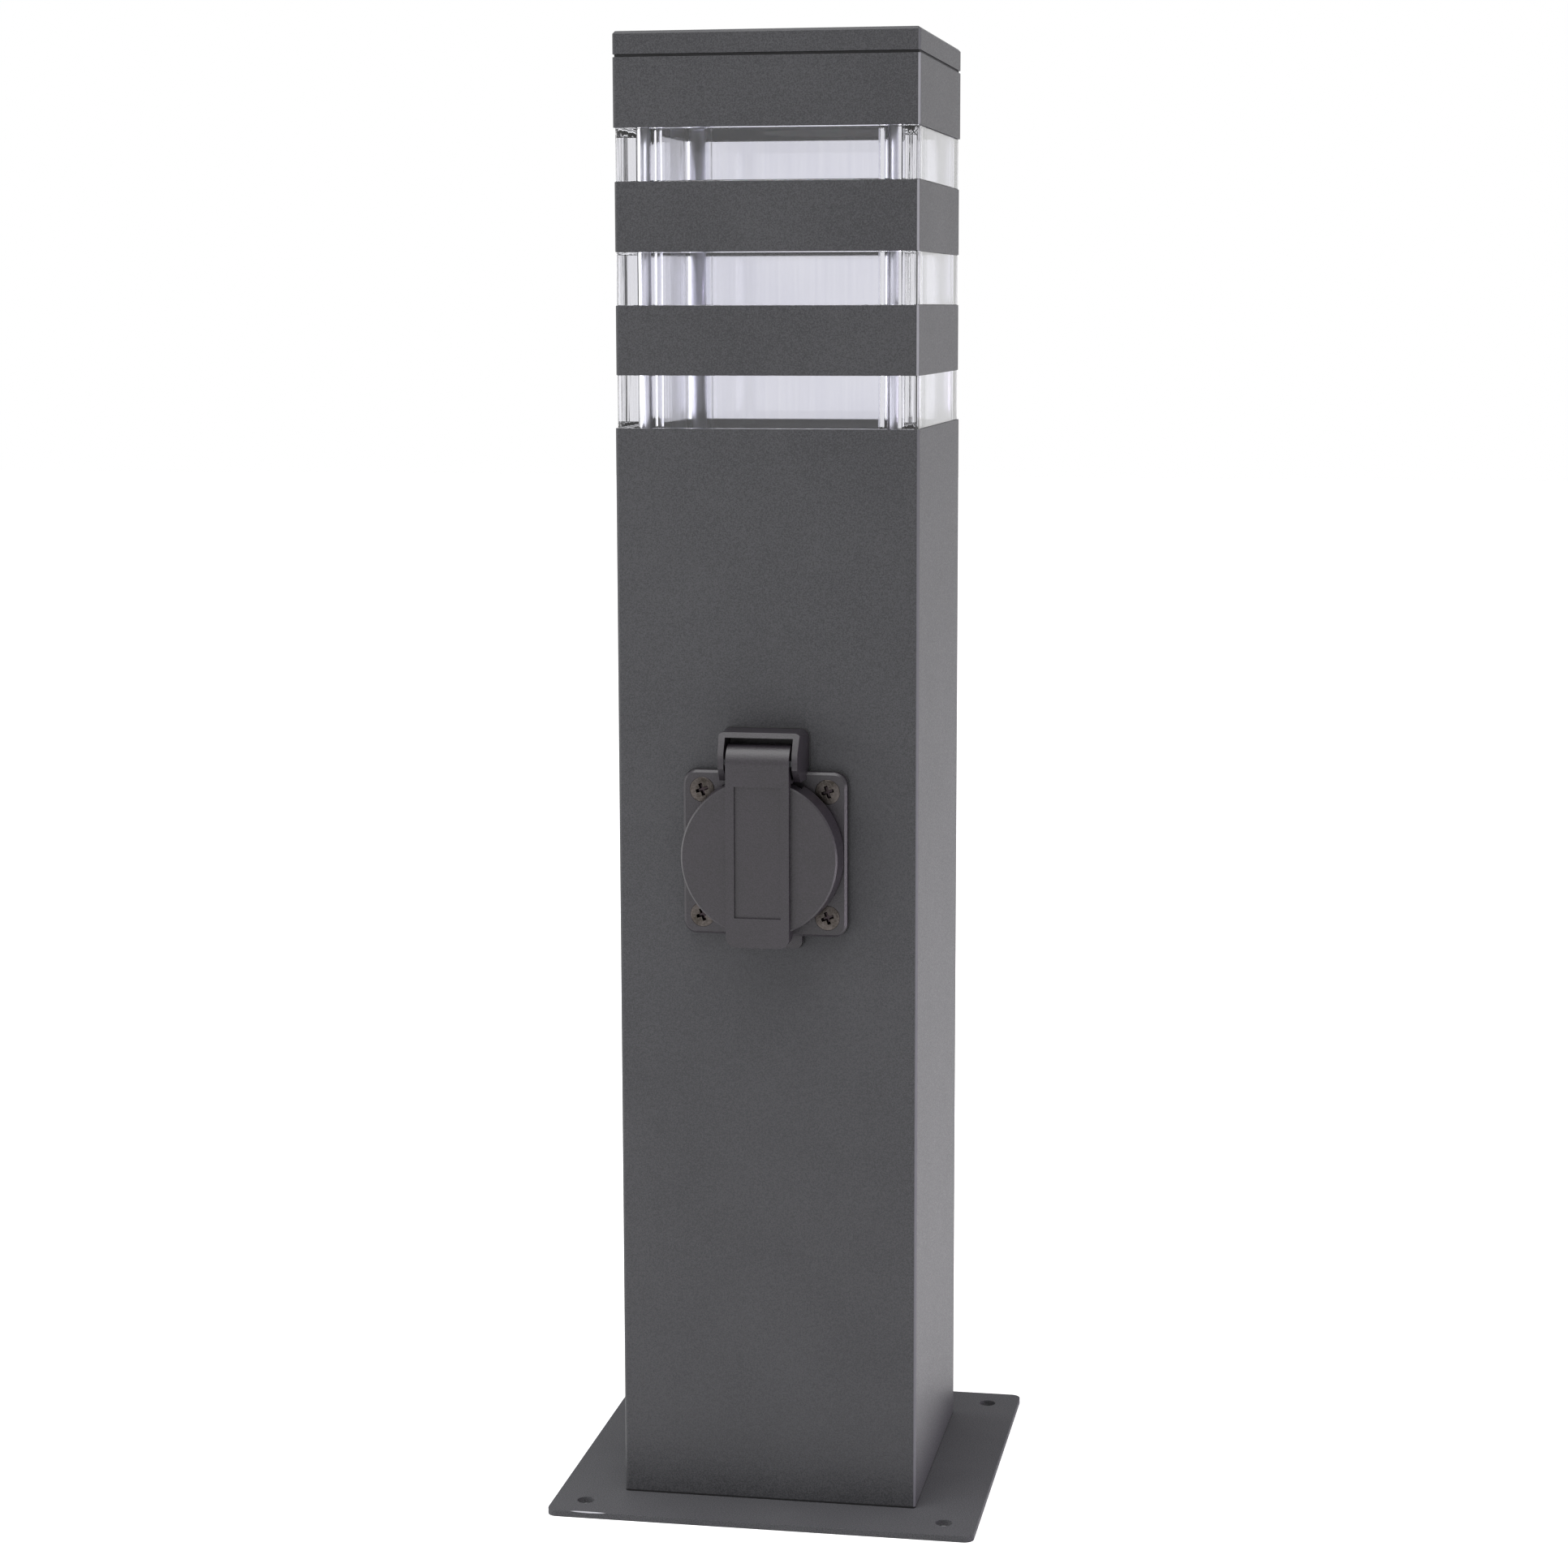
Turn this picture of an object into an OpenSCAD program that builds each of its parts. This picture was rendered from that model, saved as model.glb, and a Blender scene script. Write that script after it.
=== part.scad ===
// Garden lamp post with socket: a square post on a base plate, a clear lamp head and one outdoor socket.
// The front face looks along -Y, +Z is up, and the origin is the middle of the base plate's underside.

/* [Base plate] */
// Side of the square base plate
plate_w = 130; // [126:1:150]
// Thickness of the base plate
plate_t = 2; // [1.5:0.5:6]
// Corner radius of the base plate
plate_r = 3; // [1:0.5:6]
// Distance between the ground bolts
bolt_pitch = 110; // [106:1:116]
// Diameter of the ground bolt holes
bolt_hole_d = 5.2; // [4.2:0.2:8]
// Diameter of the opening for the supply cable
cable_hole_d = 56; // [50:1:60]
// Leg of the weld beads inside the foot
weld_leg = 3; // [2:0.5:3.5]
// Diameter of the earth stud
earth_stud_d = 6; // [4:1:6]
// Length of the earth stud above the plate
earth_stud_l = 14; // [10:1:25]

/* [Post] */
// Outer width of the post
post_w = 90; // [88:0.5:96]
// Wall of the post
post_wall = 2; // [1.5:0.25:3]
// Radius of the post's upright edges
post_r = 1; // [0.5:0.25:1.5]
// Length of the post
post_h = 325; // [320:1:400]

/* [Lamp head] */
// How far the clear rings lie back from the post's outside
ring_back = 0.45; // [0:0.05:1.5]
// Wall of the clear rings
ring_wall = 5; // [4:0.25:5.5]
// Radius of the clear rings' upright edges
ring_r = 1.5; // [0.5:0.25:2]
// Height of each clear window
window_h = 15.4; // [12:0.2:24]
// Height of the spigots above and below each window
spigot_h = 4; // [3:0.25:5]
// How far the bands lie back from the post's outside
band_back = 0.25; // [0:0.05:0.75]
// Wall of the bands
band_wall = 2; // [1.5:0.25:2.5]
// Radius of the bands' upright edges
band_r = 1; // [0.5:0.25:1.5]
// Height of each band
band_h = 20.2; // [14:0.2:30]
// Wall of the lamp housing
housing_wall = 2; // [1.5:0.25:2.5]
// Height of the lamp housing
housing_h = 20; // [20:0.5:30]
// Thickness of the housing's floor
housing_floor = 2; // [1.5:0.25:3]
// Thickness of the seal under the cap
cap_seal_t = 0.8; // [0.4:0.1:1.5]
// How far the seal lies back from the outside
cap_seal_back = 0.5; // [0.2:0.1:0.8]
// Height of the cap's outside
cap_h = 6.6; // [5:0.1:14]
// Thickness of the cap's top
cap_t = 2.5; // [1.5:0.25:3]
// Bevel on the cap's top edge
cap_bevel = 0.8; // [0.4:0.1:1.2]
// Thickness of the lip that goes down into the housing
cap_lip_t = 1.5; // [1:0.25:2]
// Depth of that lip
cap_lip_h = 4; // [3.5:0.25:5]

/* [Tie rods] */
// Diameter of the tie rods
rod_d = 4.8; // [4:0.1:5]
// Distance from the post's outside to the rods' axes
rod_inset = 8.5; // [8:0.1:9]
// Radius of the clear bosses round the rods
boss_r = 4.6; // [4.2:0.1:5]
// Bore of the hollow rod
hollow_rod_bore = 3.2; // [3:0.1:3.4]
// Width across flats of the rod nuts
rod_nut_af = 8; // [7:0.25:8.5]
// Height of the rod nuts
rod_nut_h = 4; // [3:0.25:5]
// Diameter of the rod washers
rod_washer_d = 10; // [8:0.25:10.5]
// Thickness of the rod washers
rod_washer_t = 1; // [0.5:0.25:1.5]
// How far the rods stand past their nuts
rod_tail = 1.5; // [0.5:0.25:2.5]
// Leg of the corner gussets
gusset_leg = 22; // [20:0.5:26]
// Thickness of the corner gussets
gusset_t = 3; // [2:0.5:5]
// Thickness of the tray that closes the post
tray_t = 1.5; // [1:0.25:3]
// Depth of the tray's flaps
tray_flap = 8; // [5:0.5:14]

/* [Lamp] */
// Opening in the housing's floor
lens_d = 48; // [40:0.5:49]
// Width of the diffuser's rim
lens_rim = 2; // [1.5:0.25:2.5]
// Thickness of the diffuser's rim
lens_rim_t = 1.2; // [0.8:0.2:2]
// Diameter of the heat spreader
spreader_d = 62; // [60:0.5:66]
// Inside height of the heat spreader
spreader_room = 5; // [4.5:0.25:6]
// Thickness of the heat spreader's top
spreader_t = 3; // [2.5:0.25:3.5]
// Diameter of the LED board
board_d = 50; // [44:0.5:51]
// Thickness of the LED board
board_t = 1.6; // [1:0.1:2]
// Side of each LED chip
chip_w = 3.5; // [2.5:0.1:4.5]
// Height of each LED chip
chip_t = 0.7; // [0.4:0.1:0.9]
// Number of LED chips on their circle
chip_count = 12; // [6:1:16]
// Radius of the chips' circle
chip_circle = 14; // [13:0.5:16]
// Diameter of the small lamp screws
lamp_screw_d = 2.5; // [2:0.25:2.5]
// Head diameter of the small lamp screws
lamp_screw_head = 4.4; // [4:0.1:4.6]
// Head height of the small lamp screws
lamp_screw_head_h = 1.5; // [1:0.1:1.6]

/* [Socket] */
// Height of the socket's middle above the ground
socket_z = 202.4; // [198:0.2:210]
// Side of the square flange
flange_w = 49; // [48:0.1:52]
// Thickness of the flange
flange_t = 3; // [2.5:0.1:3.4]
// Corner radius of the flange
flange_r = 4; // [3:0.25:5]
// Bevel round the flange's front
flange_bevel = 0.7; // [0.3:0.1:1]
// Thickness of the flange's gasket
gasket_t = 1; // [0.5:0.1:1.2]
// How far the gasket shows round the flange
gasket_rim = 0.3; // [0.1:0.1:0.6]
// Distance between the flange screws
flange_screw_pitch = 37.5; // [37:0.1:39]
// Diameter of the flange screws
flange_screw_d = 4; // [3:0.1:4.2]
// Head diameter of the flange screws
flange_screw_head = 7.3; // [6.5:0.1:7.5]
// Length of the flange screws
flange_screw_l = 14; // [12:1:20]
// Height of the nuts on the flange screws
flange_nut_h = 3.2; // [2.4:0.1:4]
// Width across flats of those nuts
flange_nut_af = 7; // [6:0.1:7.2]
// Diameter of the plug recess
recess_d = 39.5; // [38.5:0.1:40]
// Depth of the plug recess
recess_depth = 17.5; // [16:0.5:19]
// Wall of the cup round the recess
cup_wall = 1.5; // [1.2:0.1:1.7]
// Thickness of the cup's floor
cup_floor = 2.5; // [2:0.25:4]
// How far the collar stands out of the flange
collar_h = 4; // [3.5:0.1:4.2]
// Distance between the plug's pins
pin_pitch = 19; // [18:0.1:20]
// Diameter of the plug's pins
plug_pin_d = 4.8; // [4:0.1:5]
// Depth of the contact block behind the cup
block_depth = 15; // [14:0.5:20]
// Diameter of the contact block
block_d = 41; // [39:0.25:42]
// Wall of the contact sleeves
sleeve_wall = 0.7; // [0.5:0.1:0.9]
// Length of the contact sleeves
sleeve_l = 13; // [11:0.5:13.5]
// Width of the earth clip
clip_w = 5; // [3:0.5:6]
// Thickness of the earth clip
clip_t = 0.8; // [0.5:0.1:1]
// Reach of the clip's arms in front of the cup's floor
clip_reach = 10; // [6:0.5:14]
// Thickness of the cover behind the contact block
cover_t = 3; // [2:0.5:4]

/* [Lid] */
// Diameter of the lid's disc at its front
lid_d = 46.6; // [46:0.1:47]
// How much wider the skirt is at its back edge, on each side
skirt_flare = 0.6; // [0.2:0.1:0.7]
// Thickness of the lid's disc
disc_t = 2.2; // [1.6:0.1:2.4]
// Distance from the post's face to the disc's front
lid_front = 14; // [13.8:0.1:14.4]
// Distance from the flange to the skirt's back edge
skirt_back_gap = 1.5; // [1:0.1:2.5]
// Thickness of the skirt at its front
skirt_wall = 0.9; // [0.6:0.1:1]
// Bevel on the disc's front edge
disc_bevel = 0.5; // [0.2:0.1:0.8]
// Width of the strap across the lid
strap_w = 18.8; // [18:0.1:19.6]
// How far the strap stands out of the disc
strap_proud = 2.1; // [1.9:0.1:2.3]
// Distance from the socket's middle down to the strap's end
strap_drop = 26.1; // [25.5:0.1:27]
// Corner radius of the strap's lower end
strap_r = 3; // [1:0.25:4]
// Depth of the finger tab at the strap's lower end
tab_depth = 6; // [4:0.25:8]
// Width of the shallow panel in the strap
panel_w = 13.8; // [10:0.1:15]
// Height of the panel
panel_h = 38.9; // [30:0.1:40]
// Depth of the panel
panel_deep = 0.8; // [0.3:0.1:1]
// Distance from the socket's middle down to the panel's lower edge
panel_drop = 17.4; // [16:0.1:18.5]
// Width of the lid's seal ring, across its section
seal_w = 2; // [1.2:0.1:2.2]

/* [Hinge] */
// Height of the hinge's axis above the socket's middle
hinge_y = 27.8; // [27.6:0.1:28.4]
// Radius of the strap's rolled end
barrel_r = 5.8; // [5.5:0.05:5.9]
// Diameter of the hinge pin
hinge_pin_d = 2.5; // [2:0.1:3]
// Running gap round the hinge pin
hinge_gap = 0.05; // [0.02:0.01:0.08]
// Gap between the strap and the hinge's cheeks
cheek_gap = 0.7; // [0.2:0.05:1]
// Half of the hinge housing's width at its back
cheek_back = 12.8; // [12.4:0.1:13.5]
// Half of the hinge housing's width at its nose
cheek_nose = 11.8; // [11.6:0.1:12.4]
// Reach of the hinge housing's nose from the post's face
nose_reach = 15.2; // [14:0.1:15.4]
// Reach of the hinge housing's bar from the post's face
bar_reach = 12; // [10:0.1:12.2]
// Thickness of the bar over the hinge
bar_t = 1.5; // [1.2:0.1:1.9]
// Height of the hinge housing's top above the socket's middle
hinge_top = 37; // [36.9:0.1:39]
// Radius of the housing's upper corners
hinge_corner_r = 2.5; // [1:0.25:3]
// Half of the lower lug's width
lug_half = 11; // [10:0.1:13]
// Distance from the socket's middle down to the lug's end
lug_drop = 28.3; // [27:0.1:29]
// Corner radius of the lug
lug_r = 2; // [1:0.25:3]
// Radius of the spring's coil
spring_coil_r = 2.3; // [2.1:0.05:2.5]
// Diameter of the spring's wire
spring_wire_d = 0.7; // [0.4:0.05:0.8]
// Turns of the spring
spring_turns = 5; // [3:1:6]

/* [Junction box] */
// Width of the junction box
box_w = 64; // [60:1:70]
// Height of the junction box
box_h = 70; // [64:1:76]
// Depth of the junction box without its lid
box_d = 34; // [32:0.5:38]
// Wall of the junction box
box_wall = 2; // [1.5:0.25:2.5]
// Corner radius of the junction box
box_r = 4; // [2:0.5:6]
// Height of the junction box above the ground
box_z = 60; // [52:1:64]
// Thickness of the junction box's lid
box_lid_t = 2.5; // [2:0.25:4]
// Distance from the box's corners to its lid screws
box_screw_inset = 6; // [5.5:0.25:7]
// Distance from the post's middle back to the supply gland
supply_gland_y = 18; // [18:0.5:19]
// Bore of the supply gland
supply_bore_d = 9; // [7:0.5:10]
// Distance from the post's middle back to the upper glands
lead_gland_y = 26; // [25:0.5:27]
// Width of the terminal block
block_w = 40; // [38:1:44]
// Height of the terminal block
terminal_h = 16; // [12:0.5:20]
// Depth of the terminal block
terminal_d = 14; // [12:0.5:15]
// Distance between the terminal block's poles
pole_pitch = 10; // [9:0.5:11]
// Diameter of the socket's leads
lead_d = 2.8; // [2:0.1:2.9]
// Distance between the leads in their gland
lead_pitch = 4.6; // [4.2:0.1:5]

/* [Driver] */
// Width of the LED driver
driver_w = 38; // [34:1:44]
// Depth of the LED driver
driver_d = 22; // [20:0.5:26]
// Height of the LED driver
driver_h = 62; // [50:1:66]
// Height of the driver's lower end above the ground
driver_z = 214; // [212:1:216]
// Length of each of the driver's ears
ear_l = 9; // [8:0.5:12]
// Thickness of the driver's ears
ear_t = 2.5; // [2:0.25:4]
// Shank diameter of the rivets through the post's back
rivet_d = 3.2; // [2.4:0.1:4]
// Head diameter of the rivets
rivet_head_d = 6.4; // [5.5:0.1:7]
// Head height of the rivets
rivet_head_h = 1.1; // [0.8:0.1:1.6]
// Distance between the rivets of the junction box
box_rivet_pitch = 40; // [36:1:44]
// Diameter of the driver's supply lead
driver_lead_d = 4.4; // [3:0.1:4.6]
// Diameter of the lamp lead
lamp_lead_d = 2.4; // [1.6:0.1:2.6]

/* [Hidden] */
$fn = 64;

// Cut past a face, so that no skin is left
past = 1;
// Overlap of two volumes of one moulding
merge = 0.4;
// Clearance on each side of a spigot, lip or cover
fit_gap = 0.15;
// Clearance of a screw, rod or lead in its hole, on the radius
hole_gap = 0.2;
// Clearance of a thread in its nut, on the radius
thread_gap = 0.05;

post_in = post_w - 2 * post_wall;
post_top = plate_t + post_h;
rod_at = post_w / 2 - rod_inset;

// Outer widths of the lamp head: the housing and the cap are as wide as the post
ring_w = post_w - 2 * ring_back;
band_w = post_w - 2 * band_back;
housing_w = post_w;

// Levels of the lamp head, from the post's top upwards
ring_1_z = post_top;
band_1_z = ring_1_z + window_h;
ring_2_z = band_1_z + band_h;
band_2_z = ring_2_z + window_h;
ring_3_z = band_2_z + band_h;
housing_z = ring_3_z + window_h;
floor_z = housing_z + spigot_h + fit_gap;
floor_top = floor_z + housing_floor;
seal_z = housing_z + housing_h;
cap_z = seal_z + cap_seal_t;
tray_top = post_top - spigot_h - fit_gap;
gusset_top = tray_top - tray_t;
gusset_z = gusset_top - gusset_t;
rod_z0 = gusset_z - rod_washer_t - rod_nut_h - rod_tail;
rod_z1 = floor_top + rod_washer_t + rod_nut_h + rod_tail;
band_in = band_w - 2 * band_wall;
housing_in = housing_w - 2 * housing_wall;
lip_w = housing_in - 2 * fit_gap;
cap_screw_z = cap_z - cap_seal_t - cap_lip_h / 2;
cap_screw_x = 25;

// The M3 screws of the cap, the junction box and the contact block
m3_d = 3;
m3_head_d = 5.6;
m3_head_h = 1.8;
// Depth of a cross recess, and its width as a share of the head's diameter
cross_depth = 1.2;
cross_share = 0.58;
// Size of a rivet's second head as a share of its first
rivet_tail_share = 0.8;

// The foot: earth nut, and the stud's distance from the weld beads
earth_nut_af = 10;
earth_nut_h = 5;
earth_at = post_in / 2 - weld_leg - 7;
// Distance from the tray's flaps to the gussets
flap_gap = 3;

// The lamp in the housing, measured up from the housing's floor
lens_r = lens_d / 2;
rim_r = lens_r + lens_rim;
rim_gap = 0.3;
spreader_in_r = rim_r + rim_gap;
// Metal left over the blind holes of the board's screws, and how far those screws reach in
spreader_skin = 1;
board_screw_bite = 1.5;
spreader_top = floor_top + spreader_room + spreader_t;
board_top = floor_top + spreader_room;
lamp_screw_circle = (spreader_d / 2 + spreader_in_r) / 2;
board_screw_at = 20;
lead_hole_at = -8;

// Distances from the post's face outwards, and the hinge's axis
flange_front = gasket_t + flange_t;
collar_front = flange_front + collar_h;
recess_floor = collar_front - recess_depth;
cup_back = recess_floor - cup_floor;
cup_r = recess_d / 2 + cup_wall;
// Gap round the cup in the post, the same as the seal ring's step out from the cup
cup_gap = 0.45;
cutout_r = cup_r + cup_gap;
block_back = cup_back - block_depth;
cover_back = block_back - cover_t;
disc_back = lid_front - disc_t;
skirt_back = flange_front + skirt_back_gap;
skirt_in_r = lid_d / 2 - skirt_wall;
strap_front = lid_front + strap_proud;
hinge_d = strap_front - barrel_r;
hinge_bore_r = hinge_pin_d / 2 + hinge_gap;
// The hinge pin goes in from the left and ends a little inside the cheeks' tapering sides
pin_end_back = 0.8;
cheek_at_pin = cheek_back + (cheek_nose - cheek_back) * (hinge_d - gasket_t) / (nose_reach - gasket_t);
hinge_pin_l = 2 * (cheek_at_pin - pin_end_back);
// Pocket in the strap's rolled end for the spring's coil, and the coil's distance from its sides
spring_pocket_w = 9.2;
spring_pocket_r = 3.4;
spring_side_gap = 1;
// Side view of the hinge housing: lower end, slope under the nose, and the nose's edges from the axis
cheek_in = strap_w / 2 + cheek_gap;
cheek_low = 22.6;
nose_slope = 4;
nose_below = 1.3;
nose_above = 3.4;
// Slot in the lid's skirt under the strap, and what the slot leaves behind the disc
lid_slot_w = 24;
lid_slot_skin = 2.8;
// Thickness of the strap between the disc and the hinge, and how far strap and tab run into the lid
strap_web = 3.5;
strap_root = 2;
tab_root = 3;

// The screws' heads, the contacts and the screws that hold them
screw_head_h = (flange_screw_head - flange_screw_d) / 2;
screw_turn = 20;
pin_gap = 0.05;
sleeve_r = plug_pin_d / 2 + pin_gap + sleeve_wall;
sleeve_floor = 1;
pin_hole_d = plug_pin_d + 1;
clip_back_gap = 0.5;
clip_at = recess_d / 2 - clip_t - clip_back_gap;
terminal_head_d = 4.8;
terminal_head_h = 1.9;
terminal_sink = 2;
terminal_screw_l = block_d / 2 - pin_pitch / 2 - sleeve_r - 1;
cover_edge = 1;

// The junction box stands against the post's back wall
box_y = post_in / 2 - box_d;
box_top = box_z + box_h;
box_mid_z = box_z + box_h / 2;
box_rivet_z = box_z + 0.75 * box_h;
terminal_rise = 26;
terminal_z = box_z + terminal_rise;
terminal_top = terminal_z + terminal_h;
terminal_y = post_in / 2 - box_wall - terminal_d;
lead_start_y = terminal_y + terminal_d / 2;
lead_gland_x = -14;
driver_gland_x = 14;
driver_y = post_in / 2 - driver_d;
lead_r = lead_d / 2;
// Distance from the socket's middle down to the earth lead's end
terminal_drop = 9;
// Pillars for the lid's screws, their holes and how far the screws reach in
pillar_r = 3.4;
pillar_hole = 12;
box_screw_bite = 8;
// Wells over the terminal block's screws, and the holes for the supply's wires below
well_d = 4.5;
well_h = 4;
wire_hole_d = 3.4;
wire_hole_h = 6;
// Cable glands: thread past the wall, hexagon, domed nut and its step, and the three threads' radii
gland_tail = 2;
gland_hex_h = 4;
gland_hex_rim = 1.6;
gland_nut_h = 8;
gland_nut_rim = 1.4;
gland_dome = 3;
gland_crown = 0.4;
gland_l = box_wall + gland_tail + gland_hex_h - merge + gland_nut_h;
supply_thread_r = supply_bore_d / 2 + 2.5;
lead_thread_r = lead_pitch + lead_r + 1.2;
driver_thread_r = driver_lead_d / 2 + 2.2;
driver_r = 2;
driver_lead_x = 10;
lamp_lead_x = -8;
// Sides of a lead's section and of the spring wire's, and the curve's steps between two points
lead_sides = 8;
wire_sides = 6;
curve_steps = 2;

// A square with rounded corners, centred
module rounded_square(w, d, r) {
    square([w - 2 * r, d], center = true);
    square([w, d - 2 * r], center = true);
    at_corners((w - 2 * r) / 2, (d - 2 * r) / 2) circle(r = r);
}

// Children at the four corners of a rectangle
module at_corners(x, y) {
    for (sx = [-1, 1], sy = [-1, 1]) translate([sx * x, sy * y]) children();
}

// A square tube, or a frame of flat sheet, from z upwards
module square_tube(w, wall, r, z, h) {
    translate([0, 0, z]) linear_extrude(h) difference() {
        rounded_square(w, w, r);
        square(w - 2 * wall, center = true);
    }
}

// A plate with rounded corners and a bevel round its top face
module bevelled_plate(w, d, r, h, bevel) {
    flat = h - bevel;
    linear_extrude(flat) rounded_square(w, d, r);
    profile_x = [[-d / 2, 0], [d / 2, 0], [d / 2, flat],
        [d / 2 - bevel, h], [bevel - d / 2, h], [-d / 2, flat]];
    profile_y = [[-w / 2, 0], [w / 2, 0], [w / 2, flat],
        [w / 2 - bevel, h], [bevel - w / 2, h], [-w / 2, flat]];
    rotate([90, 0, 90]) linear_extrude(w - 2 * r, center = true) polygon(profile_x);
    rotate([90, 0, 0]) linear_extrude(d - 2 * r, center = true) polygon(profile_y);
    at_corners(w / 2 - r, d / 2 - r) rotate_extrude()
        polygon([[0, 0], [r, 0], [r, flat], [r - bevel, h], [0, h]]);
}

// A cross recess, cut down from z = 0 into a screw's head
module cross_recess(width) {
    for (turn = [0, 90]) rotate([0, 0, turn])
        translate([0, 0, (past - cross_depth) / 2])
            cube([width, width / 4, cross_depth + past], center = true);
}

// A pan-head screw along +Z: its head stands on z = 0 and its shank goes down
module pan_screw(d, length, head_d, head_h) {
    difference() {
        union() {
            translate([0, 0, -length]) cylinder(d = d, h = length + merge);
            cylinder(d = head_d, h = head_h);
        }
        translate([0, 0, head_h]) cross_recess(head_d * cross_share);
    }
}

// A hexagon nut on z = 0, upwards
module hex_nut(across_flats, h, bore_d) {
    difference() {
        cylinder(d = across_flats / cos(30), h = h, $fn = 6);
        translate([0, 0, -past]) cylinder(d = bore_d, h = h + 2 * past);
    }
}

// Rivet along +Y through two sheets: y = 0 is the outer sheet's outside
module rivet(grip) {
    rotate([90, 0, 0]) {
        translate([0, 0, -rivet_head_h]) cylinder(d = rivet_head_d, h = rivet_head_h);
        translate([0, 0, -merge]) cylinder(d = rivet_d, h = grip + 2 * merge);
        translate([0, 0, grip]) cylinder(d = rivet_head_d * rivet_tail_share, h = rivet_head_h);
    }
}

// Children in the socket's own frame: x as the post's, y up, z out of the post's face
module on_socket() {
    translate([0, -post_w / 2, socket_z]) rotate([90, 0, 0]) children();
}

// Routes of leads: a smooth curve through its points, then a ring of corners round each step
function unit(v) = v / norm(v);
function spline_point(a, b, c, d, t) =
    0.5 * (2 * b + (c - a) * t + (2 * a - 5 * b + 4 * c - d) * t * t + (3 * b - a - 3 * c + d) * t * t * t);
function smooth_path(p, steps) = concat(
    [for (i = [0:len(p) - 2], s = [0:steps - 1])
        spline_point(p[max(i - 1, 0)], p[i], p[i + 1], p[min(i + 2, len(p) - 1)], s / steps)],
    [p[len(p) - 1]]);
function path_dir(p, i) = unit(p[min(i + 1, len(p) - 1)] - p[max(i - 1, 0)]);
function square_to(v, dir) = unit(v - (v * dir) * dir);
function path_sides(p, first) =
    [for (i = 0, side = square_to(first, path_dir(p, 0)); i < len(p);
        i = i + 1, side = i < len(p) ? square_to(side, path_dir(p, i)) : side) side];

// A closed tube of n sides along the points p; first is any direction across its start
module lead_tube(p, r, n, first) {
    sides = path_sides(p, first);
    rings = len(p);
    points = [for (i = [0:rings - 1], k = [0:n - 1])
        p[i] + r * (cos(360 * k / n) * sides[i] + sin(360 * k / n) * cross(path_dir(p, i), sides[i]))];
    walls = [for (i = [0:rings - 2], k = [0:n - 1], half = [0, 1])
        let (a = i * n + k, b = i * n + (k + 1) % n, c = a + n, e = b + n)
        half == 0 ? [a, c, e] : [a, e, b]];
    start = [[for (k = [0:n - 1]) k]];
    end = [[for (k = [n - 1:-1:0]) (rings - 1) * n + k]];
    polyhedron(points = points, faces = concat(walls, start, end));
}

// Base plate with its bolt holes and cable opening
module base_plate() {
    color("#4c4c4f") difference() {
        linear_extrude(plate_t) rounded_square(plate_w, plate_w, plate_r);
        at_corners(bolt_pitch / 2, bolt_pitch / 2)
            translate([0, 0, -past]) cylinder(d = bolt_hole_d, h = plate_t + 2 * past);
        translate([0, 0, -past]) cylinder(d = cable_hole_d, h = plate_t + 2 * past);
        translate([-earth_at, -earth_at, -past])
            cylinder(d = earth_stud_d + 2 * thread_gap, h = plate_t + 2 * past);
    }
}

// Square post tube with the socket's cut-out and the holes for screws and rivets
module post_tube() {
    color("#505053") difference() {
        square_tube(post_w, post_wall, post_r, plate_t, post_h);
        on_socket() {
            translate([0, 0, -post_wall - past]) cylinder(r = cutout_r, h = post_wall + 2 * past);
            at_corners(flange_screw_pitch / 2, flange_screw_pitch / 2)
                translate([0, 0, -post_wall - past])
                cylinder(d = flange_screw_d + 2 * hole_gap, h = post_wall + 2 * past);
        }
        rivet_holes(post_wall);
    }
}

// Holes for every rivet in the post's back wall
module rivet_holes(depth) {
    rivet_places() translate([0, past, 0]) rotate([90, 0, 0])
        cylinder(d = rivet_d + 2 * thread_gap, h = depth + 2 * past);
}
module rivet_places() {
    box_rivet_places() children();
    driver_rivet_places() children();
}
module box_rivet_places() {
    for (side = [-1, 1]) translate([side * box_rivet_pitch / 2, post_w / 2, box_rivet_z]) children();
}
module driver_rivet_places() {
    for (z = [driver_z - ear_l / 2, driver_z + driver_h + ear_l / 2])
        translate([0, post_w / 2, z]) children();
}

// Weld beads along the inside of the foot, stopping short of the corners
module foot_welds() {
    color("#6a6a6c") for (turn = [0:90:270]) rotate([0, 0, turn])
        translate([0, post_in / 2, plate_t]) rotate([90, 0, 90])
        linear_extrude(post_in - 6 * weld_leg, center = true)
            polygon([[0, 0], [0, weld_leg], [-weld_leg, 0]]);
}

// Earth stud through the plate, flush below, in the post's front left corner
module earth_stud() {
    color("#b9b08c") translate([-earth_at, -earth_at, 0])
        cylinder(d = earth_stud_d, h = plate_t + earth_stud_l);
}
module earth_nut() {
    color("#b9b08c") translate([-earth_at, -earth_at, plate_t])
        hex_nut(earth_nut_af, earth_nut_h, earth_stud_d + 2 * thread_gap);
}

// Four gussets welded into the post's corners, which carry the tie rods
module corner_gussets() {
    half = post_in / 2;
    color("#6a6a6c") difference() {
        for (turn = [0:90:270]) rotate([0, 0, turn]) translate([0, 0, gusset_z]) linear_extrude(gusset_t)
            polygon([[half, half], [half - gusset_leg, half], [half, half - gusset_leg]]);
        rod_holes(gusset_z, gusset_t);
    }
}
module rod_holes(z, h) {
    at_corners(rod_at, rod_at) translate([0, 0, z - past])
        cylinder(d = rod_d + 2 * hole_gap, h = h + 2 * past);
}

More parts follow.
